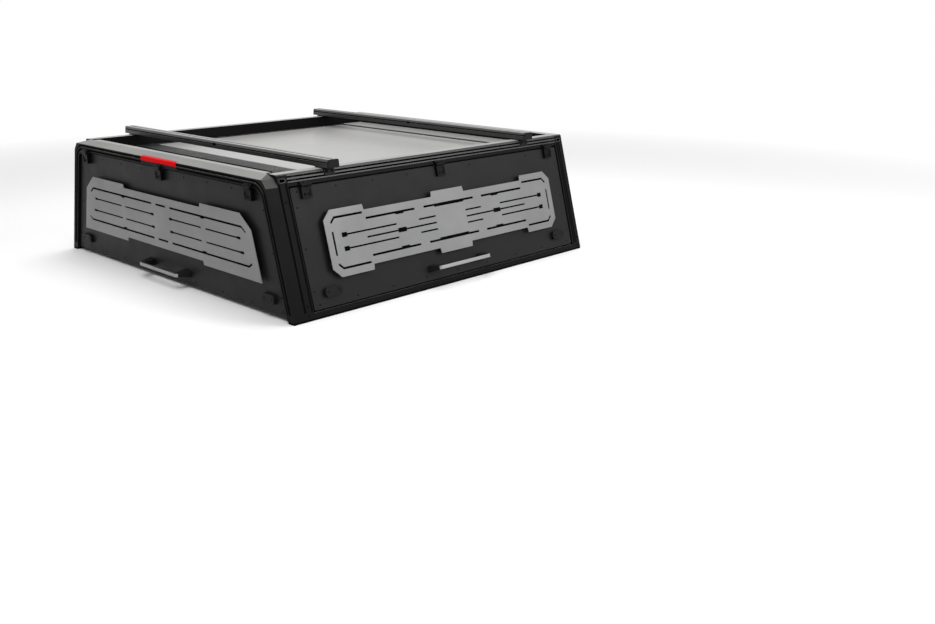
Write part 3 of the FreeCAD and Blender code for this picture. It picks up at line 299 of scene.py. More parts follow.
@dataclass(frozen=True)
class MouldedPlastic(Finish):
    """Black plastic or rubber from a mould, with a leathery grain."""

    relief: float = 0.00012
    gloss: float = 0.2
    index: float = 1.45

    def fill(self, sheet: NodeSheet) -> None:
        """A fine pebbled relief, a faint bloom, and edges lightened as a painted highlight."""
        normal, edges = sheet.edges(0.001)
        pebbles = sheet.cells(self.grain)
        bloom = sheet.noise(0.05, 4)
        share = sheet.spread(bloom, 0.35, 0.7, 0, 1)
        colour = sheet.blend(share, shade(self.colour, 0.8), shade(self.colour, 1.35))
        # Painted highlight: the colour is lighter along the edges.
        colour = sheet.blend(sheet.sum(edges, 0.5, "MULTIPLY"), colour, shade(self.colour, 2.2))
        rough = sheet.spread(bloom, 0.3, 0.7, self.roughness - 0.07, self.roughness + 0.07)
        sheet.set(Base_Color=colour, Roughness=rough, Specular_IOR_Level=self.gloss, IOR=self.index)
        sheet.relief(pebbles, self.relief, normal)


@dataclass(frozen=True)
class TintedGlass(Finish):
    """Dark glass that lets a little light through."""

    def fill(self, sheet: NodeSheet) -> None:
        """A tint with faint smears in its gloss."""
        smears = sheet.noise(self.grain, 4, (1, 3, 1))
        colour = sheet.blend(smears, shade(self.colour, 0.9), shade(self.colour, 1.1))
        rough = sheet.spread(smears, 0.3, 0.7, self.roughness, self.roughness + 0.03)
        sheet.set(Base_Color=colour, Roughness=rough, Transmission_Weight=0.85, IOR=1.5)


@dataclass(frozen=True)
class LampLens(Finish):
    """Clear red plastic with ribs moulded behind its face."""

    def fill(self, sheet: NodeSheet) -> None:
        """Upright ribs in tone and relief under a clear coat."""
        ribs = sheet.add("ShaderNodeTexWave", wave_type="BANDS", bands_direction="Y")
        ribs.inputs["Scale"].default_value = 1 / (self.grain * math.tau)
        sheet.join(sheet.place, ribs.inputs["Vector"])
        glow = sheet.blend(ribs.outputs["Fac"], shade(self.colour, 0.75), shade(self.colour, 1.1))
        sheet.set(Base_Color=glow, Roughness=self.roughness, Specular_IOR_Level=0.06)
        sheet.set(Emission_Color=glow, Emission_Strength=0.55, IOR=1.15)
        normal = sheet.add("ShaderNodeNewGeometry").outputs["Normal"]
        sheet.relief(ribs.outputs["Fac"], 0.0003, normal)


class Coat(Enum):
    """The canopy's finishes, each under the record's name of its material slot."""

    # FRAME and BAR lighten their upward faces with a painted sheen.
    FRAME = PowderCoat("frame_coat", (0.0048, 0.0048, 0.0050), 0.38, 0.0022, relief=0.00003, gloss=0.05, top_sheen=0.74)
    # A lighter copy of the frame coat for lips and eyelets: a painted highlight.
    LIP_HIGHLIGHT = PowderCoat("frame_coat", (0.030, 0.030, 0.030), 0.30, 0.0022, relief=0.00002, gloss=0.5)
    # A light grey copy of the black frame coat for the roof: a painted sheen standing in for the sky's reflection.
    ROOF_SHEEN = PowderCoat("frame_coat", (0.26, 0.258, 0.252), 0.30, 0.0030, relief=0.0, edge_wear_and_highlight=1.2, patchy=0.01,
                      cloud=0.03)
    # A grey copy of the frame coat for the ribbed panel: a painted sheen on it.
    RIBBED_SHEEN = PowderCoat("frame_coat", (0.03, 0.03, 0.03), 0.34, 0.0030, relief=0.00002, edge_wear_and_highlight=1.6)
    PANEL = PowderCoat("panel_coat", (0.0065, 0.0065, 0.0068), 0.46, 0.0016, relief=0.00008, gloss=0.15)
    PLATE = PowderCoat("plate_coat", (0.175, 0.176, 0.178), 0.42, 0.0012, edge_wear_and_highlight=1.35, metallic=0.25)
    BAR = PowderCoat("bar_coat", (0.020, 0.020, 0.0205), 0.34, 0.0014, relief=0.00003, gloss=0.45, top_sheen=0.5)
    HINGE = PowderCoat("hinge_coat", (0.0035, 0.0035, 0.0037), 0.30, 0.0012, relief=0.00004, edge_wear_and_highlight=2.4, gloss=0.06)
    TUBE = PowderCoat("tube_coat", (0.012, 0.012, 0.013), 0.22, 0.0030, relief=0.00003)
    SILVER = BrushedMetal("bar_metal", (0.30, 0.30, 0.305), 0.36, 0.0007, (60, 60, 1))
    STEEL = BrushedMetal("bright_steel", (0.72, 0.73, 0.75), 0.16, 0.0005, (1, 1, 40))
    PLASTIC = MouldedPlastic("black_plastic", (0.007, 0.007, 0.0073), 0.42, 0.0011, gloss=0.12)
    RUBBER = MouldedPlastic("rubber", (0.0035, 0.0035, 0.0035), 0.80, 0.0018, gloss=0.04, index=1.03)
    GLASS = TintedGlass("window_glass", (0.045, 0.052, 0.055), 0.02, 0.12)
    LENS = LampLens("red_lens", (0.44, 0.002, 0.004), 0.20, 0.0045)


class Paintbox:
    """Each finish made into a material once."""

    def __init__(self) -> None:
        """Start with no material made."""
        self.made: dict[Coat, bpy.types.Material] = {}

    def get(self, coat: Coat) -> bpy.types.Material:
        """The material of a finish, made at its first use."""
        if coat not in self.made:
            self.made[coat] = coat.value.make()
        return self.made[coat]

    def dress(self, name: str, coat: Coat) -> None:
        """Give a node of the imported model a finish."""
        node = frame["nodes"][name]
        node.data.materials.clear()
        node.data.materials.append(self.get(coat))


PAINT = Paintbox()


@dataclass(frozen=True)
class Station:
    """A face of the canopy with axes of its own: along it, up it and out of it."""

    origin: Vector
    along: Vector
    up: Vector

    def at(self, along: float, up: float, out: float = 0.0, turn: float = 0.0) -> Matrix:
        """The place of a piece that sits on this face.

        Args:
            along: Distance along the face in metres.
            up: Distance up the face.
            out: Distance out of the face.
            turn: Turn about the face's own normal, in radians.

        Returns:
            A matrix whose axes are along, up and out.
        """
        normal = self.along.cross(self.up)
        spot = self.origin + self.along * along + self.up * up + normal * out
        axes = Matrix((self.along, self.up, normal)).transposed().to_4x4()
        return Matrix.Translation(spot) @ axes @ Matrix.Rotation(turn, 4, "Z")


@dataclass(frozen=True)
class Layout:
    """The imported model's main sizes, in metres, from which its faces follow."""

    base_width: float = 1.75
    lean: float = math.radians(15)
    gasket: float = 0.008
    rear_x: float = -0.818
    front_x: float = 0.867
    door_x: float = 0.0475
    opening_half: float = 0.7675
    rail_low: float = 0.492
    rail_low_upright: float = 0.4752
    rail_top: float = 0.5212
    rear_hinge_spread: float = 0.638
    side_hinge_spread: float = 0.695
    hinge_drop: float = 0.003

    @property
    def rear(self) -> Station:
        """The rear face, along to the canopy's right."""
        return Station(Vector((self.rear_x, 0, self.gasket)), Vector((0, -1, 0)), Vector((0, 0, 1)))

    @property
    def front(self) -> Station:
        """The front face, along to the canopy's left."""
        return Station(Vector((self.front_x, 0, self.gasket)), Vector((0, 1, 0)), Vector((0, 0, 1)))

    @property
    def roof(self) -> Station:
        """The roof, along to the front, from the rear face."""
        return Station(Vector((self.rear_x, 0, self.gasket)), Vector((1, 0, 0)), Vector((0, 1, 0)))

    def side(self, name: str) -> Station:
        """A leaned side.

        Args:
            name: Right or left.

        Returns:
            The side's station, its origin at the foot of the door's middle.
        """
        sign = 1 if name == "right" else -1
        origin = Vector((self.door_x, -sign * self.base_width / 2, self.gasket))
        return Station(origin, Vector((sign, 0, 0)),
                       Vector((0, sign * math.sin(self.lean), math.cos(self.lean))))

    def sides(self) -> list[tuple[Station, int]]:
        """Both leaned sides, each with the sign that its axis along has towards the front."""
        return [(self.side("right"), 1), (self.side("left"), -1)]

    def edge_at(self, height: float, depth: float = 0.0) -> float:
        """Distance from the middle to a side's face, at an upright height and a depth behind it."""
        return self.base_width / 2 - height * math.tan(self.lean) - depth / math.cos(self.lean)


LAYOUT = Layout()


class Moulding:
    """A piece's mesh, gathered from turned, cut and swept forms."""

    def __init__(self) -> None:
        """Start an empty mesh."""
        self.mesh = bmesh.new()

    def turned(self, place: Matrix, profile: Sequence[Point], sides: int = 20) -> "Moulding":
        """Turn a profile round the place's third axis.

        Args:
            place: The place, whose third axis is the turning axis.
            profile: Radius and height of each ring, from one end to the other.
            sides: How many sides the rings have.

        Returns:
            This moulding.
        """
        rings = []
        for radius, height in profile:
            if radius <= 0:
                rings.append([self.mesh.verts.new(place @ Vector((0, 0, height)))])
                continue
            angles = [math.tau * number / sides for number in range(sides)]
            rings.append([self.mesh.verts.new(place @ Vector((radius * math.cos(a), radius * math.sin(a), height)))
                          for a in angles])
        for low, high in zip(rings, rings[1:]):
            for number in range(sides):
                after = (number + 1) % sides
                corners = [low[number % len(low)], low[after % len(low)],
                           high[after % len(high)], high[number % len(high)]]
                corners = list(dict.fromkeys(corners))
                if len(corners) > 2:
                    self.mesh.faces.new(corners)
        for ring in (rings[0], rings[-1]):
            if len(ring) > 2:
                self.mesh.faces.new(ring)
        return self

    def block(self, place: Matrix, outline: Sequence[Point], low: float, high: float,
              pull: float = 0.0) -> "Moulding":
        """Raise an outline into a block.

        Args:
            place: The place, whose first two axes the outline lies on.
            outline: The outline's corners in order.
            low: Where the block starts on the third axis.
            high: Where it ends.
            pull: How far the upper outline is drawn in towards the middle.

        Returns:
            This moulding.
        """
        middle = Vector((sum(x for x, _ in outline), sum(y for _, y in outline))) / len(outline)
        lower, upper = [], []
        for corner in outline:
            spot = Vector(corner)
            inward = (middle - spot).normalized() * pull
            lower.append(self.mesh.verts.new(place @ Vector((*spot, low))))
            upper.append(self.mesh.verts.new(place @ Vector((*(spot + inward), high))))
        count = len(outline)
        self.mesh.faces.new(list(reversed(lower)))
        self.mesh.faces.new(upper)
        for number in range(count):
            after = (number + 1) % count
            self.mesh.faces.new((lower[number], lower[after], upper[after], upper[number]))
        return self

    def swept(self, path: Sequence[Vector], section: Sequence[Point], up: Vector,
              closed: bool = False) -> "Moulding":
        """Carry a section along a path.

        Args:
            path: The path's points.
            section: The section's corners, across and up.
            up: The direction that the section's second axis follows.
            closed: Whether the path comes back to its start.

        Returns:
            This moulding.
        """
        rings = []
        count = len(path)
        for number, spot in enumerate(path):
            back = path[number - 1] if number or closed else spot
            ahead = path[(number + 1) % count] if number < count - 1 or closed else spot
            before, after = (spot - back), (ahead - spot)
            before = before.normalized() if before.length > 0 else after.normalized()
            after = after.normalized() if after.length > 0 else before
            run = (before + after).normalized()
            across = run.cross(up).normalized()
            widen = 1 / max(0.5, before.dot(run))
            rings.append([self.mesh.verts.new(spot + across * x * widen + up * y) for x, y in section])
        pairs = list(zip(rings, rings[1:]))
        if closed:
            pairs.append((rings[-1], rings[0]))
        sides = len(section)
        for low, high in pairs:
            for number in range(sides):
                after = (number + 1) % sides
                self.mesh.faces.new((low[number], low[after], high[after], high[number]))
        if not closed:
            self.mesh.faces.new(list(reversed(rings[0])))
            self.mesh.faces.new(rings[-1])
        return self

    def drawn(self, profile: Sequence[Point], half: float) -> "Moulding":
        """Draw a profile across the canopy, level with its roof.

        Args:
            profile: The profile's corners, along from the rear face and up from the gasket.
            half: Half its length across.

        Returns:
            This moulding.
        """
        lines = [[self.mesh.verts.new(LAYOUT.roof.at(x, y, level) @ Vector()) for x, level in profile]
                 for y in (-half, half)]
        for number in range(len(profile)):
            after = (number + 1) % len(profile)
            self.mesh.faces.new((lines[0][number], lines[0][after], lines[1][after], lines[1][number]))
        for line in lines:
            self.mesh.faces.new(line)
        return self

    def piece(self, name: str, body: str, coat: Coat, bevel: float = 0.0) -> bpy.types.Object:
        """Make the piece, dress it and let it ride on a body.

        Args:
            name: The piece's name.
            body: The body it rides on.
            coat: Its finish, whose name is also its material slot's.
            bevel: Width of the bevel along its edges in metres.

        Returns:
            The new object.
        """
        bmesh.ops.recalc_face_normals(self.mesh, faces=self.mesh.faces[:])
        data = bpy.data.meshes.new(name)
        self.mesh.to_mesh(data)
        self.mesh.free()
        thing = bpy.data.objects.new(name, data)
        bpy.context.scene.collection.objects.link(thing)
        data.materials.append(PAINT.get(coat))
        if bevel:
            rounding = thing.modifiers.new("rounding", "BEVEL")
            rounding.width = bevel
            rounding.segments = 2
            rounding.limit_method = "ANGLE"
            rounding.harden_normals = True
        for face in data.polygons:
            face.use_smooth = True
        data.set_sharp_from_angle(angle=math.radians(32))
        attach(thing, body)
        log.info("%s on %s, %d faces", name, body, len(data.polygons))
        return thing


def box(half_along: float, half_up: float, corner: float = 0.0) -> list[Point]:
    """A rectangle's corners about its middle, cut off where a corner size is given."""
    if not corner:
        return [(-half_along, -half_up), (half_along, -half_up), (half_along, half_up), (-half_along, half_up)]
    a, u, c = half_along, half_up, corner
    return [(-a + c, -u), (a - c, -u), (a, -u + c), (a, u - c), (a - c, u), (-a + c, u), (-a, u - c), (-a, -u + c)]


def rounded(half_along: float, half_up: float, radius: float, steps: int = 5) -> list[Point]:
    """A rectangle's outline about its middle, with round corners.

    Args:
        half_along: Half its length.
        half_up: Half its height.
        radius: Its corners' radius.
        steps: How many edges each corner has.

    Returns:
        The outline's points.
    """
    points = []
    for quarter, (x, y) in enumerate(((1, 1), (-1, 1), (-1, -1), (1, -1))):
        for step in range(steps + 1):
            angle = math.pi / 2 * (quarter + step / steps)
            points.append((x * (half_along - radius) + radius * math.cos(angle),
                           y * (half_up - radius) + radius * math.sin(angle)))
    return points


def spaced(first: float, last: float, count: int) -> list[float]:
    """Evenly spaced values from first to last."""
    return [first + (last - first) * number / (count - 1) for number in range(count)]


def smooth(corners: Sequence[Vector], radius: float, step: float, closed: bool = True) -> list[Vector]:
    """An outline with round corners.

    Args:
        corners: The outline's corners in order.
        radius: The corners' radius.
        step: About how long each edge of a corner's arc is.
        closed: Whether it comes back to its start. If not, its two ends stay as they are.

    Returns:
        The outline's points.
    """
    points = []
    for number, here in enumerate(corners):
        if not closed and number in (0, len(corners) - 1):
            points.append(here)
            continue
        back = (corners[number - 1] - here).normalized()
        ahead = (corners[(number + 1) % len(corners)] - here).normalized()
        half = back.angle(ahead) / 2
        reach = radius / math.tan(half)
        middle = here + (back + ahead).normalized() * (radius / math.sin(half))
        start, end = here + back * reach - middle, here + ahead * reach - middle
        count = max(2, round(radius * start.angle(end) / step))
        turn = start.angle_signed(end)
        for part in range(count + 1):
            swing = -turn * part / count
            points.append(middle + Vector((start.x * math.cos(swing) - start.y * math.sin(swing),
                                           start.x * math.sin(swing) + start.y * math.cos(swing))))
    return points


class Fastener(Enum):
    """Heads of the fasteners, as profiles of radius and height over the face."""

    BUTTON = ((0.0055, -0.0005), (0.0055, 0.0004), (0.0051, 0.0016), (0.0040, 0.0026), (0.0026, 0.0031),
              (0.0021, 0.0031), (0.0021, 0.0012), (0.0, 0.0012))
    RIVET = ((0.0036, -0.0004), (0.0036, 0.0002), (0.0031, 0.0010), (0.0019, 0.0016), (0.0008, 0.0017),
             (0.0008, 0.0009), (0.0, 0.0009))
    PIN = ((0.0030, -0.0006), (0.0030, 0.0006), (0.0024, 0.0012), (0.0012, 0.0016), (0.0, 0.0017))


def fastened(name: str, body: str, coat: Coat, kind: Fastener, places: Sequence[Matrix]) -> bpy.types.Object:
    """One piece of like fasteners.

    Args:
        name: The piece's name.
        body: The body it rides on.
        coat: Its finish.
        kind: The fasteners' head.
        places: Where each sits, its third axis out of the face.

    Returns:
        The new object.
    """
    shape = Moulding()
    for place in places:
        shape.turned(place, kind.value, HEAD_SIDES)
    return shape.piece(name, body, coat)


@dataclass
class Frame:
    """Base, posts, castings, rails and beams, with their bolts, track parts and seams."""

    post_rear: float = -0.7895
    post_front: float = 0.8085
    foot_level: float = 0.013
    track_levels: tuple[float, float] = (0.514, 0.527)
    lip_levels: tuple[tuple[float, float], ...] = ((0.5056, 0.5106), (0.5175, 0.5236), (0.5304, 0.5352))
    lip_proud: float = 0.0014
    beam_front: float = 0.5082
    strip_low: float = 0.026
    strip_high: float = 0.503
    post_grooves: tuple[tuple[float, float], ...] = ((-0.7755, 0.0038), (-0.8070, 0.0042), (0.7805, 0.0036),
                                                     (0.7935, 0.0036))
    portal_grooves: tuple[tuple[float, float, float], ...] = ((0.0125, 0.0755, 0.0), (0.0275, 0.0605, 0.003))
    portal_ridge: float = 0.0200
    ridge_radius: float = 0.0680
    ridge_gap: float = 0.003
    portal_drop: float = 0.0090
    lamp_half: float = 0.1385
    eyelet_level: float = 0.5158
    eyelet_places: tuple[float, float] = (-0.7895, 0.7935)
    flange_half: float = 0.664
    pin_out: float = 0.008
    pin_reach: float = 0.0232

    def dress(self) -> None:
        """Give the frame's nodes their finishes."""
        for name in ("base_rail_right", "base_rail_left", "base_rail_front", "foot_castings", "side_rail_right",
                     "side_rail_left", "side_posts", "corner_castings", "rear_posts", "rear_beam", "front_beam",
                     "roof_bows", "strut_arms"):
            PAINT.dress(name, Coat.FRAME)
        for name in ("base_gasket", "door_seals", "window_seal"):
            PAINT.dress(name, Coat.RUBBER)
        PAINT.dress("front_wall", Coat.PANEL)
        PAINT.dress("front_window", Coat.GLASS)
        PAINT.dress("brake_lamp", Coat.LENS)
        PAINT.dress("frame_hinge_leaves", Coat.HINGE)

    def bolts(self) -> None:
        """Bolts through the posts and castings of both sides."""
        spots = []
        for side, turn in LAYOUT.sides():
            for along in (self.post_rear, self.post_front):
                spots += [side.at(turn * along, level) for level in (self.foot_level, 0.050, 0.438)]
        fastened("post_bolts", "root", Coat.HINGE, Fastener.BUTTON, spots)

    def track_nuts(self) -> None:
        """Square nuts left in the tracks of the side rails."""
        shape = Moulding()
        for side, _ in LAYOUT.sides():
            for along in (-0.735, 0.735):
                for level in self.track_levels:
                    shape.block(side.at(along, level), box(0.011, 0.0036, 0.001), -0.0046, -0.0022)
        shape.piece("track_nuts", "root", Coat.HINGE, 0.0004)

    def lamp_bezel(self) -> None:
        """A black rim under the brake lamp and up both its ends."""
        low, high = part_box("brake_lamp")
        half = (high.y - low.y) / 2 + 0.0006
        bottom, top = low.z - LAYOUT.gasket - 0.0008, self.beam_front - 0.001
        path = [LAYOUT.rear.at(across, up) @ Vector()
                for across, up in ((-half, top), (-half, bottom), (half, bottom), (half, top))]
        section = [(-0.0014, -0.0005), (0.0014, -0.0005), (0.0010, 0.0016), (-0.0010, 0.0016)]
        shape = Moulding()
        shape.swept(path, section, REARWARD)
        shape.piece("brake_lamp_rim", "root", Coat.PLASTIC)

    def track_lips(self) -> None:
        """Rolled lips beside both tracks of each side rail, in a lighter coat that paints a highlight on them, and a
        black strip down in each track that paints its shade.
        """
        lips, track_shade = Moulding(), Moulding()
        half = LAYOUT.opening_half
        for side, _ in LAYOUT.sides():
            for low, high in self.lip_levels:
                middle = (low + high) / 2
                lips.block(side.at(0, middle), box(half, (high - low) / 2), -0.0002, self.lip_proud)
                lips.block(side.at(0, high - 0.0012, self.lip_proud), box(half, 0.0012), -0.0002, 0.0008)
            for level in self.track_levels:
                # Painted shade: a black strip at the bottom of each track.
                track_shade.block(side.at(0, level), box(half, 0.0045), -0.0058, -0.0049)
        lips.piece("track_lips", "root", Coat.LIP_HIGHLIGHT, 0.0005)
        track_shade.piece("track_shade_strips", "root", Coat.RUBBER)

    def groove_shade_strips(self) -> None:
        """Black rubber strips down in the upright grooves of the side posts and round the rear portal, painting the
        grooves' shade.
        """
        shape = Moulding()
        low, high = self.strip_low, self.strip_high
        for side, turn in LAYOUT.sides():
            for along, half in self.post_grooves:
                # Painted shade: black strips that darken the grooves.
                shape.block(side.at(turn * along, (low + high) / 2), box(half, (high - low) / 2), -0.0039, 0.0003)
        section = [(-0.0038, -0.0004), (0.0038, -0.0004), (0.0038, 0.0003), (-0.0038, 0.0003)]
        for inset, radius, gap in self.portal_grooves:
            for path in self.portal_paths(inset, radius, gap):
                shape.swept(path, section, REARWARD)
        shape.piece("groove_shade_strips", "root", Coat.RUBBER)

    def portal_bead(self) -> None:
        """A rounded bead on the rear portal, beside its opening."""
        shape = Moulding()
        section = [(-0.0030, -0.0004), (0.0030, -0.0004), (0.0030, 0.0010), (0.0020, 0.0021), (0.0, 0.0025),
                   (-0.0020, 0.0021), (-0.0030, 0.0010)]
        for path in self.portal_paths(self.portal_ridge, self.ridge_radius, self.ridge_gap):
            shape.swept(path, section, REARWARD)
        shape.piece("portal_bead", "root", Coat.FRAME)

    def portal_paths(self, inset: float, radius: float, gap: float) -> list[list[Vector]]:
        """Both halves of a line that follows the rear portal's outline.

        Args:
            inset: How far it lies in from the posts' outer edge; on the beam it lies lower.
            radius: Its radius at the upper corners.
            gap: How far its halves end from the lamp.

        Returns:
            The two lines' points.
        """
        top = LAYOUT.rail_top - inset - self.portal_drop
        paths = []
        for side in (1, -1):
            corners = [Vector((side * LAYOUT.edge_at(self.strip_low, inset), self.strip_low)),
                       Vector((side * LAYOUT.edge_at(top, inset), top)), Vector((side * (self.lamp_half + gap), top))]
            paths.append([LAYOUT.rear.at(across, up) @ Vector()
                          for across, up in smooth(corners, radius, 0.006, False)])
        return paths

    def eyelets(self) -> None:
        """Raised rings round the lashing slots of the four corner castings, in the lighter lip coat that paints a
        highlight on them.
        """
        shape = Moulding()
        for side, turn in LAYOUT.sides():
            for along in self.eyelet_places:
                place = side.at(turn * along, self.eyelet_level)
                path = [place @ Vector((x, y, 0)) for x, y in rounded(0.0142, 0.0072, 0.0071, 6)]
                shape.swept(path, [(-0.0013, -0.0004), (0.0013, -0.0004), (0.0008, 0.0014), (-0.0008, 0.0014)],
                            side.along.cross(side.up), True)
        shape.piece("lashing_eyelets", "root", Coat.LIP_HIGHLIGHT)

    def hinge_pins(self) -> None:
        """Domed ends of the pins in all nine hinges."""
        spots = []
        rows = [(LAYOUT.rear, LAYOUT.rear_hinge_spread, LAYOUT.rail_low_upright)]
        rows += [(side, LAYOUT.side_hinge_spread, LAYOUT.rail_low) for side, _ in LAYOUT.sides()]
        for station, spread, level in rows:
            for along in (-spread, 0, spread):
                for end in (-1, 1):
                    spot = station.at(along + end * self.pin_reach, level - LAYOUT.hinge_drop, self.pin_out)
                    spots.append(spot @ Matrix.Rotation(end * math.pi / 2, 4, "Y"))
        fastened("hinge_pins", "root", Coat.HINGE, Fastener.PIN, spots)

    def beam_flange(self) -> None:
        """The rear beam's inner flange, a folded sheet level with its top."""
        half, top = self.flange_half, LAYOUT.rail_top
        profile = [(0.0535, top - 0.0010), (0.0860, top - 0.0014), (0.0880, top - 0.0034), (0.0880, top - 0.0160),
                   (0.0862, top - 0.0160), (0.0862, top - 0.0045), (0.0850, top - 0.0034), (0.0535, top - 0.0030)]
        Moulding().drawn(profile, half).piece("rear_beam_flange", "root", Coat.FRAME)
        seam = Moulding()
        seam.block(LAYOUT.roof.at(0.0885, 0, top), box(0.0016, half), -0.0030, 0.0016)
        seam.piece("rear_beam_seam", "root", Coat.RUBBER, 0.0002)

    def window_trim(self) -> None:
        """A raised rubber lip on the window's seal, outside and inside."""
        low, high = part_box("window_seal")
        front = LAYOUT.front
        shape = Moulding()
        bottom, top, wide = low.z - LAYOUT.gasket, high.z - LAYOUT.gasket, high.y
        lean_in = (top - bottom) * math.tan(LAYOUT.lean)
        corners = [Vector((-wide + 0.004, bottom)), Vector((wide - 0.004, bottom)),
                   Vector((wide - lean_in, top)), Vector((-wide + lean_in, top))]
        path = smooth(corners, 0.040, 0.005)
        for out, sign in ((low.x - LAYOUT.front_x, -1), (high.x - LAYOUT.front_x, 1)):
            points = [front.at(x, y, out) @ Vector() for x, y in path]
            section = [(-0.007, 0.0), (0.007, 0.0), (0.006, sign * 0.003), (0.0, sign * 0.0045),
                       (-0.006, sign * 0.003)]
            shape.swept(points, section, Vector((1, 0, 0)), True)
        shape.piece("window_trim", "root", Coat.RUBBER)

    def wall_rivets(self) -> None:
        """Rivets round the edge of the front wall."""
        front, out, spots = LAYOUT.front, -0.006, []
        for level in (0.045, 0.435):
            half = LAYOUT.edge_at(level, 0.05) - 0.016
            spots += [front.at(along, level, out) for along in spaced(-half, half, 13)]
        for level in spaced(0.045, 0.435, 5)[1:-1]:
            half = LAYOUT.edge_at(level, 0.05) - 0.016
            spots += [front.at(sign * half, level, out) for sign in (-1, 1)]
        fastened("front_wall_rivets", "root", Coat.FRAME, Fastener.RIVET, spots)

    def build(self) -> None:
        """Dress the frame and add its trim."""
        self.dress()
        self.bolts()
        self.track_nuts()
        self.track_lips()
        self.groove_shade_strips()
        self.portal_bead()
        self.eyelets()
        self.hinge_pins()
        self.beam_flange()
        self.lamp_bezel()
        self.window_trim()
        self.wall_rivets()


@dataclass
class Roof:
    """Ribbed and main panels with their rivets and sealing beads."""

    inner_half: float = 0.687
    panel_rear: float = 0.351
    rivet_inset: float = 0.036
    front_inner: float = 1.639
    cover_rear: float = 1.505

    def build(self) -> None:
        """Dress the panels and add their rivets, seals and front cover."""
        PAINT.dress("roof_rib_panel", Coat.RIBBED_SHEEN)
        # The main panel's light grey is a painted sheen on the black frame coat.
        PAINT.dress("roof_panel", Coat.ROOF_SHEEN)
        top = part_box("roof_panel")[1].z - LAYOUT.gasket
        spots = []
        for side in (-1, 1):
            for along in spaced(self.panel_rear + 0.03, self.cover_rear - 0.04, 11):
                spots.append(LAYOUT.roof.at(along, side * (self.inner_half - self.rivet_inset), top))
        for along in (self.panel_rear + 0.016, self.cover_rear - 0.016):
            spots += [LAYOUT.roof.at(along, across, top) for across in spaced(-0.6, 0.6, 9)]
        fastened("roof_rivets", "root", Coat.ROOF_SHEEN, Fastener.RIVET, spots)
        self.seals(top)
        self.front_cover(top)

    def seals(self, top: float) -> None:
        """Dark sealing beads round the main panel and along the front cover's folded edge.

        Args:
            top: Level of the main panel's upper face.
        """
        rear, front, half = self.panel_rear + 0.003, self.front_inner - 0.004, self.inner_half - 0.0235
        path = [LAYOUT.roof.at(x, y, top) @ Vector()
                for x, y in ((rear, -half), (front, -half), (front, half), (rear, half))]
        bead = Moulding()
        bead.swept(path, [(-0.0034, 0), (0.0034, 0), (0.0018, 0.0028), (-0.0018, 0.0028)], Vector((0, 0, 1)), True)
        bead.block(LAYOUT.roof.at(self.cover_rear - 0.0065, 0, top), box(0.0060, half), -0.0002, 0.0012)
        bead.block(LAYOUT.roof.at(self.panel_rear + 0.0055, 0, top), box(0.0055, half), -0.0002, 0.0034)
        bead.piece("roof_sealing_bead", "root", Coat.RUBBER)

    def front_cover(self, top: float) -> None:
        """A raised sheet across the front of the roof, its rear edge folded down.

        Args:
            top: Level of the main panel's upper face.
        """
        half = self.inner_half - 0.030
        start, end = self.cover_rear, self.front_inner - 0.012
        profile = [(start, top), (start, top + 0.005), (start + 0.002, top + 0.007), (start + 0.012, top + 0.007),
                   (start + 0.016, top + 0.006), (end - 0.006, top + 0.006), (end, top + 0.003), (end, top)]
        Moulding().drawn(profile, half).piece("roof_front_cover", "root", Coat.ROOF_SHEEN, 0.0008)


@dataclass
class CrossBars:
    """The cross bars with their feet, rubber inserts, caps and bolts."""

    insert_half: float = 0.0035
    groove_level: float = 0.0185
    groove_in: float = 0.0068
    groove_out: float = 0.0030
    bolt_level: float = 0.5265
    foot_plate: float = 0.005

    def build(self) -> None:
        """Dress the bars and add their inserts and bolts."""
        for which in ("rear", "front"):
            name = f"cross_bar_{which}"
            PAINT.dress(name, Coat.BAR)
            low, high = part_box(name)
            middle, top = (low.x + high.x) / 2, high.z
            strip = Moulding()
            place = Matrix.Translation((middle, 0, top - 0.0012))
            strip.block(place, box(self.insert_half, high.y - 0.002), -0.0022, 0.0006)
            strip.piece(f"cross_bar_insert_{which}", "root", Coat.RUBBER, 0.0005)
            self.side_groove_shade(which, low, high)
            self.plug(which, low, high)
            bolts = []
            for side, turn in LAYOUT.sides():
                along = turn * (middle - LAYOUT.door_x)
                bolts += [side.at(along + step, self.bolt_level, self.foot_plate) for step in (-0.013, 0.013)]
            fastened(f"cross_bar_bolts_{which}", "root", Coat.HINGE, Fastener.BUTTON, bolts)
        PAINT.dress("cross_bar_feet", Coat.PLASTIC)
        PAINT.dress("cross_bar_caps", Coat.PLASTIC)

    def side_groove_shade(self, which: str, low: Vector, high: Vector) -> None:
        """Black rubber strips down in the grooves of a bar's two sides, painting the grooves' shade.

        Args:
            which: Rear or front.
            low: Lowest corner of the bar's box.
            high: Highest corner of the bar's box.
        """
        shape = Moulding()
        for edge, inward in ((low.x, 1), (high.x, -1)):
            middle = edge + inward * (self.groove_in + self.groove_out) / 2
            place = Matrix.Translation((middle, 0, low.z + self.groove_level))
            half = (self.groove_in - self.groove_out) / 2
            # Painted shade: black strips that darken the side grooves.
            shape.block(place, box(half, high.y - 0.001), -0.0024, 0.0024)
        shape.piece(f"cross_bar_side_strips_{which}", "root", Coat.RUBBER)

    def plug(self, which: str, low: Vector, high: Vector) -> None:
        """A small round-ended plug in the middle of a bar's rear side."""
        station = Station(Vector((low.x, 0, low.z)), Vector((0, -1, 0)), Vector((0, 0, 1)))
        shape = Moulding()
        shape.block(station.at(0, self.groove_level), rounded(0.011, 0.0052, 0.0050), -0.004, 0.0012, 0.0006)
        shape.piece(f"cross_bar_plug_{which}", "root", Coat.RUBBER, 0.0004)


# Level of each plate's middle, and the outline of the black sheet behind it that paints the shadow seen through its
# slots
REAR_SHADOW_SHEET = (0.2455, [(-0.670, -0.084), (0.670, -0.084), (0.636, 0.062), (0.612, 0.084), (-0.612, 0.084),
                        (-0.636, 0.062)])
SIDE_SHADOW_SHEET = (0.2545, box(0.640, 0.104, 0.030))


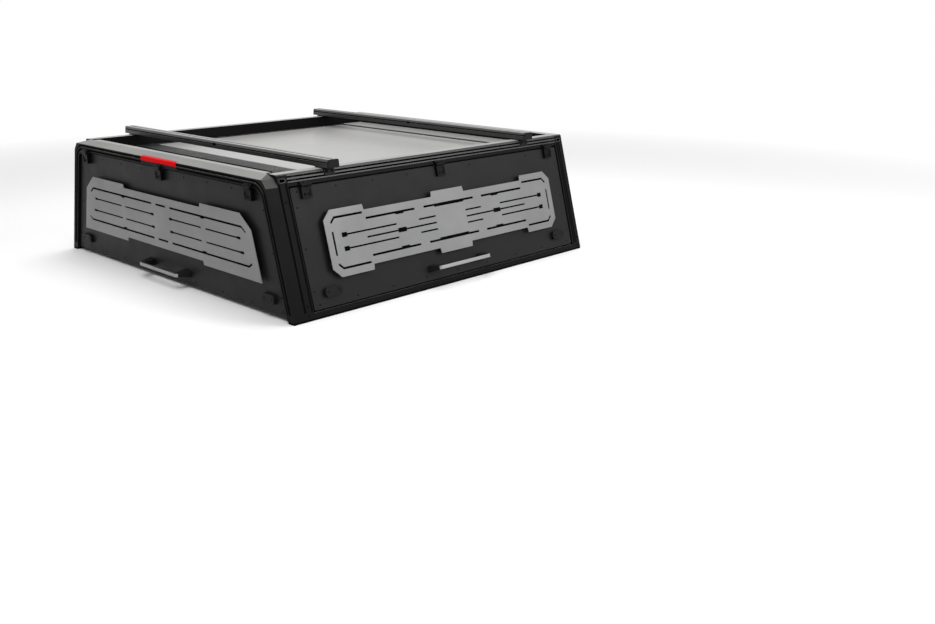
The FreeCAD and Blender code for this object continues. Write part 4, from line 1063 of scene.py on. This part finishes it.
@dataclass
class Door:
    """One door's panel, plate, handle, latches, hinges and struts."""

    name: str
    station: Station
    strut_feet: tuple[Vector, Vector]
    strut_axis: Vector
    cover_place: float
    cover_level: float
    cover_face: float
    face: float
    hinge_spread: float
    low: float
    top: float
    leaned: bool
    thickness: float = 0.025
    axis_out: float = 0.008
    screw_inset: float = 0.017
    half_width: float = 0.7615
    edge_depth: float = 0.044
    leaf_reach: float = 0.034
    pocket: float = 0.0025
    plate_back: float = 0.017

    def edge(self, height: float, inset: float = 0.0) -> float:
        """Half the door's width at a height, less an inset."""
        if self.leaned:
            return LAYOUT.edge_at(height, self.edge_depth + inset)
        return self.half_width - inset

    def dress(self) -> None:
        """Give the door's nodes and its struts their finishes."""
        coats = {"panel": Coat.PANEL, "plate": Coat.PLATE, "handle": Coat.SILVER, "handle_feet": Coat.PLASTIC,
                 "latch_covers": Coat.PLASTIC, "hinge_leaves": Coat.HINGE, "strut_brackets": Coat.HINGE}
        for what, coat in coats.items():
            PAINT.dress(f"{self.name}_{what}", coat)
        for which in ("first", "second"):
            PAINT.dress(f"{self.name}_strut_tube_{which}", Coat.TUBE)
            PAINT.dress(f"{self.name}_strut_rod_{which}", Coat.STEEL)

    def rivets(self) -> None:
        """Small rivets round the panel's edge, outside."""
        spots = []
        middle = (self.low + self.top) / 2
        for level in (self.low + self.screw_inset, self.top - self.screw_inset):
            half = self.edge(level, self.screw_inset + 0.012)
            spots += [self.station.at(along, level, self.face) for along in spaced(-half, half, 9)]
        for level in (self.low + 0.07, middle, self.top - 0.075):
            half = self.edge(level, self.screw_inset)
            spots += [self.station.at(side * half, level, self.face) for side in (-1, 1)]
        fastened(f"{self.name}_rivets", self.name, Coat.HINGE, Fastener.RIVET, spots)

    def hinge_screws(self) -> None:
        """Two screws in each hinge leaf of the door."""
        level = self.top + LAYOUT.hinge_drop - self.leaf_reach
        spots = [self.station.at(place + side * 0.009, level, self.axis_out - self.pocket)
                 for place in (-self.hinge_spread, 0, self.hinge_spread) for side in (-1, 1)]
        fastened(f"{self.name}_hinge_screws", self.name, Coat.HINGE, Fastener.BUTTON, spots)

    def plate_shadow_sheet(self) -> None:
        """A dark sheet behind the slotted plate, seen through its slots: a painted shadow."""
        level, outline = (REAR_SHADOW_SHEET if self.leaned else SIDE_SHADOW_SHEET)
        shape = Moulding()
        back = self.face + self.plate_back
        # Painted shadow: a black sheet behind the plate darkens its slots.
        shape.block(self.station.at(0, level), outline, back - 0.0014, back + 0.0001)
        shape.piece(f"{self.name}_plate_shadow_sheet", self.name, Coat.RUBBER)

    def latch_details(self) -> None:
        """A shallow raised rim on each latch cover, and the screw heads at its ends."""
        rims, screws = Moulding(), []
        for side in (-1, 1):
            place = self.station.at(side * self.cover_place, self.cover_level, self.cover_face)
            path = [place @ Vector((x, y, 0)) for x, y in rounded(0.0330, 0.0120, 0.0090)]
            rims.swept(path, [(-0.0012, -0.0004), (0.0012, -0.0004), (0.0006, 0.0008), (-0.0006, 0.0008)],
                       self.station.along.cross(self.station.up), True)
            screws += [place @ Matrix.Translation((step, 0, 0)) for step in (-0.023, 0.023)]
        rims.piece(f"{self.name}_latch_rims", self.name, Coat.PLASTIC)
        fastened(f"{self.name}_latch_screws", self.name, Coat.HINGE, Fastener.RIVET, screws)

    def strut_collars(self) -> None:
        """A gland at the mouth of each strut's tube, and a wiper ring on it."""
        for which, foot in zip(("first", "second"), self.strut_feet):
            aim = self.strut_axis.to_track_quat("Z", "Y").to_matrix().to_4x4()
            place = Matrix.Translation(foot) @ aim
            shape = Moulding()
            shape.turned(place, ((0.0060, 0.1795), (0.0092, 0.1800), (0.0097, 0.1810), (0.0097, 0.1870),
                                 (0.0092, 0.1882), (0.0078, 0.1904), (0.0074, 0.1925), (0.0058, 0.1932),
                                 (0.0052, 0.1925), (0.0052, 0.1800)), 24)
            shape.piece(f"{self.name}_strut_gland_{which}", f"{self.name}_strut_tube_{which}", Coat.PLASTIC)

    def latch_rods(self) -> None:
        """The latches on the inner side, and the rods that join them to the handle."""
        back = self.face - self.thickness
        level = self.low + 0.033
        shape = Moulding()
        reach = self.edge(level, 0.075)
        for side in (-1, 1):
            shape.block(self.station.at(side * reach, level, back), box(0.034, 0.014, 0.003), 0.0006, -0.0035)
        shape.block(self.station.at(0, level, back), box(0.045, 0.013, 0.003), 0.0006, -0.0035)
        shape.piece(f"{self.name}_latch_plates", self.name, Coat.HINGE, 0.0006)
        rods = Moulding()
        for side in (-1, 1):
            place = self.station.at(side * 0.04, level, back - 0.002) @ Matrix.Rotation(side * math.pi / 2, 4, "Y")
            rods.turned(place, ((0, 0), (0.0016, 0), (0.0016, reach - 0.06), (0, reach - 0.06)), 10)
        rods.piece(f"{self.name}_latch_rods", self.name, Coat.STEEL)

    def build(self) -> None:
        """Dress the door and add its trim."""
        self.dress()
        self.rivets()
        self.hinge_screws()
        self.latch_rods()
        self.plate_shadow_sheet()
        self.latch_details()
        self.strut_collars()


@dataclass
class Studio:
    """White floor and backdrop, soft lamps and the camera."""

    eye: Colour = (-2.866, -3.732, 1.126)
    yaw: float = math.radians(44.03)
    pitch: float = math.radians(17.22)
    focal_pixels: float = 999.0
    picture_width: float = 935.0
    sensor: float = 36.0

    def camera(self) -> None:
        """The camera, at the photograph's place and angle."""
        data = bpy.data.cameras.new("camera")
        data.sensor_width = self.sensor
        data.lens = self.sensor * self.focal_pixels / self.picture_width
        data.clip_end = 200
        camera = bpy.data.objects.new("camera", data)
        bpy.context.scene.collection.objects.link(camera)
        camera.location = self.eye
        level = math.cos(self.pitch)
        gaze = Vector((level * math.cos(self.yaw), level * math.sin(self.yaw), -math.sin(self.pitch)))
        camera.rotation_euler = gaze.to_track_quat("-Z", "Y").to_euler()
        bpy.context.scene.camera = camera

    def seen(self, sheet: NodeSheet) -> Any:
        """1 for rays from the camera, off gloss or through glass, and 0 for light on the object."""
        rays = sheet.add("ShaderNodeLightPath").outputs
        first = sheet.sum(rays["Is Camera Ray"], rays["Is Glossy Ray"], "MAXIMUM")
        return sheet.sum(first, rays["Is Transmission Ray"], "MAXIMUM")

    def floor(self) -> None:
        """A wide pale floor that fades to white away from the canopy."""
        shape = bmesh.new()
        bmesh.ops.create_circle(shape, cap_ends=True, segments=64, radius=60.0)
        sheet = NodeSheet("floor")
        distance = sheet.add("ShaderNodeVectorMath", operation="LENGTH")
        sheet.join(sheet.place, distance.inputs[0])
        far = sheet.spread(distance.outputs["Value"], 2.6, 5.0, 0.0, 1.0)
        share = sheet.sum(far, self.seen(sheet), "MULTIPLY")
        sheet.set(Base_Color=(0.90, 0.90, 0.90, 1.0), Roughness=0.9)
        sheet.shader.inputs["Specular IOR Level"].default_value = 0.1
        white = sheet.add("ShaderNodeEmission")
        mix = sheet.add("ShaderNodeMixShader")
        sheet.join(share, mix.inputs[0])
        sheet.join(sheet.shader.outputs[0], mix.inputs[1])
        sheet.join(white.outputs[0], mix.inputs[2])
        output = next(node for node in sheet.tree.nodes if node.type == "OUTPUT_MATERIAL")
        sheet.join(mix.outputs[0], output.inputs["Surface"])
        data = bpy.data.meshes.new("floor")
        shape.to_mesh(data)
        shape.free()
        data.materials.append(sheet.material)
        thing = bpy.data.objects.new("floor", data)
        bpy.context.scene.collection.objects.link(thing)

    def world(self) -> None:
        """White where it is seen, and a soft even light on the object."""
        world = bpy.data.worlds.new("world")
        world.use_nodes = True
        bpy.context.scene.world = world
        tree = world.node_tree
        rays = tree.nodes.new("ShaderNodeLightPath").outputs
        joined = None
        for name in ("Is Camera Ray", "Is Glossy Ray", "Is Transmission Ray"):
            if joined is None:
                joined = rays[name]
                continue
            larger = tree.nodes.new("ShaderNodeMath")
            larger.operation = "MAXIMUM"
            tree.links.new(joined, larger.inputs[0])
            tree.links.new(rays[name], larger.inputs[1])
            joined = larger.outputs[0]
        strength = tree.nodes.new("ShaderNodeMapRange")
        strength.inputs["To Min"].default_value = 0.38
        strength.inputs["To Max"].default_value = 1.0
        tree.links.new(joined, strength.inputs["Value"])
        background = tree.nodes["Background"]
        background.inputs["Color"].default_value = (1, 1, 1, 1)
        tree.links.new(strength.outputs["Result"], background.inputs["Strength"])

    def lamp(self, name: str, spot: Colour, aim: Colour, size: float, power: float) -> None:
        """A square soft lamp.

        Args:
            name: The lamp's name.
            spot: Where it hangs.
            aim: The point it faces.
            size: Its width in metres.
            power: Its power in watts.
        """
        data = bpy.data.lights.new(name, "AREA")
        data.size = size
        data.energy = power
        lamp = bpy.data.objects.new(name, data)
        bpy.context.scene.collection.objects.link(lamp)
        lamp.location = spot
        lamp.rotation_euler = (Vector(aim) - Vector(spot)).to_track_quat("-Z", "Y").to_euler()

    def build(self) -> None:
        """Set up the floor, light and camera."""
        self.floor()
        self.world()
        self.lamp("key", (-2.2, -2.0, 5.0), (0, 0, 0.3), 3.0, 150)
        self.lamp("fill", (2.6, -4.6, 3.0), (0, 0, 0.3), 3.0, 120)
        self.lamp("top", (0.6, 0.6, 4.5), (0, 0, 0.3), 3.0, 120)
        self.camera()
        bpy.context.scene.view_settings.view_transform = "Standard"


def main() -> None:
    """Build the canopy's looks and the studio round it."""
    logging.basicConfig(level=logging.INFO, format="%(message)s")
    Frame().build()
    Roof().build()
    CrossBars().build()
    rear_feet = (Vector((-0.7215, -0.6937, 0.1502)), Vector((-0.7215, 0.6937, 0.1502)))
    Door("rear_door", LAYOUT.rear, rear_feet, Vector((-0.108059, 0, 0.994144)),
         cover_place=0.7211, cover_level=0.065, cover_face=0.003, face=-0.011,
         hinge_spread=LAYOUT.rear_hinge_spread, low=0.008, top=0.4692, leaned=True).build()
    for name, sign in (("right", 1), ("left", -1)):
        feet = tuple(Vector((place, -sign * 0.7401, 0.1365))
                     for place in ((0.773, -0.678) if sign > 0 else (-0.678, 0.773)))
        Door(f"{name}_door", LAYOUT.side(name), feet, Vector((0, sign * 0.152926, 0.988238)),
             cover_place=0.6655, cover_level=0.084, cover_face=0.011, face=-0.003,
             hinge_spread=LAYOUT.side_hinge_spread, low=0.026, top=0.486, leaned=False).build()
    Studio().build()


if __name__ == "__main__":
    main()
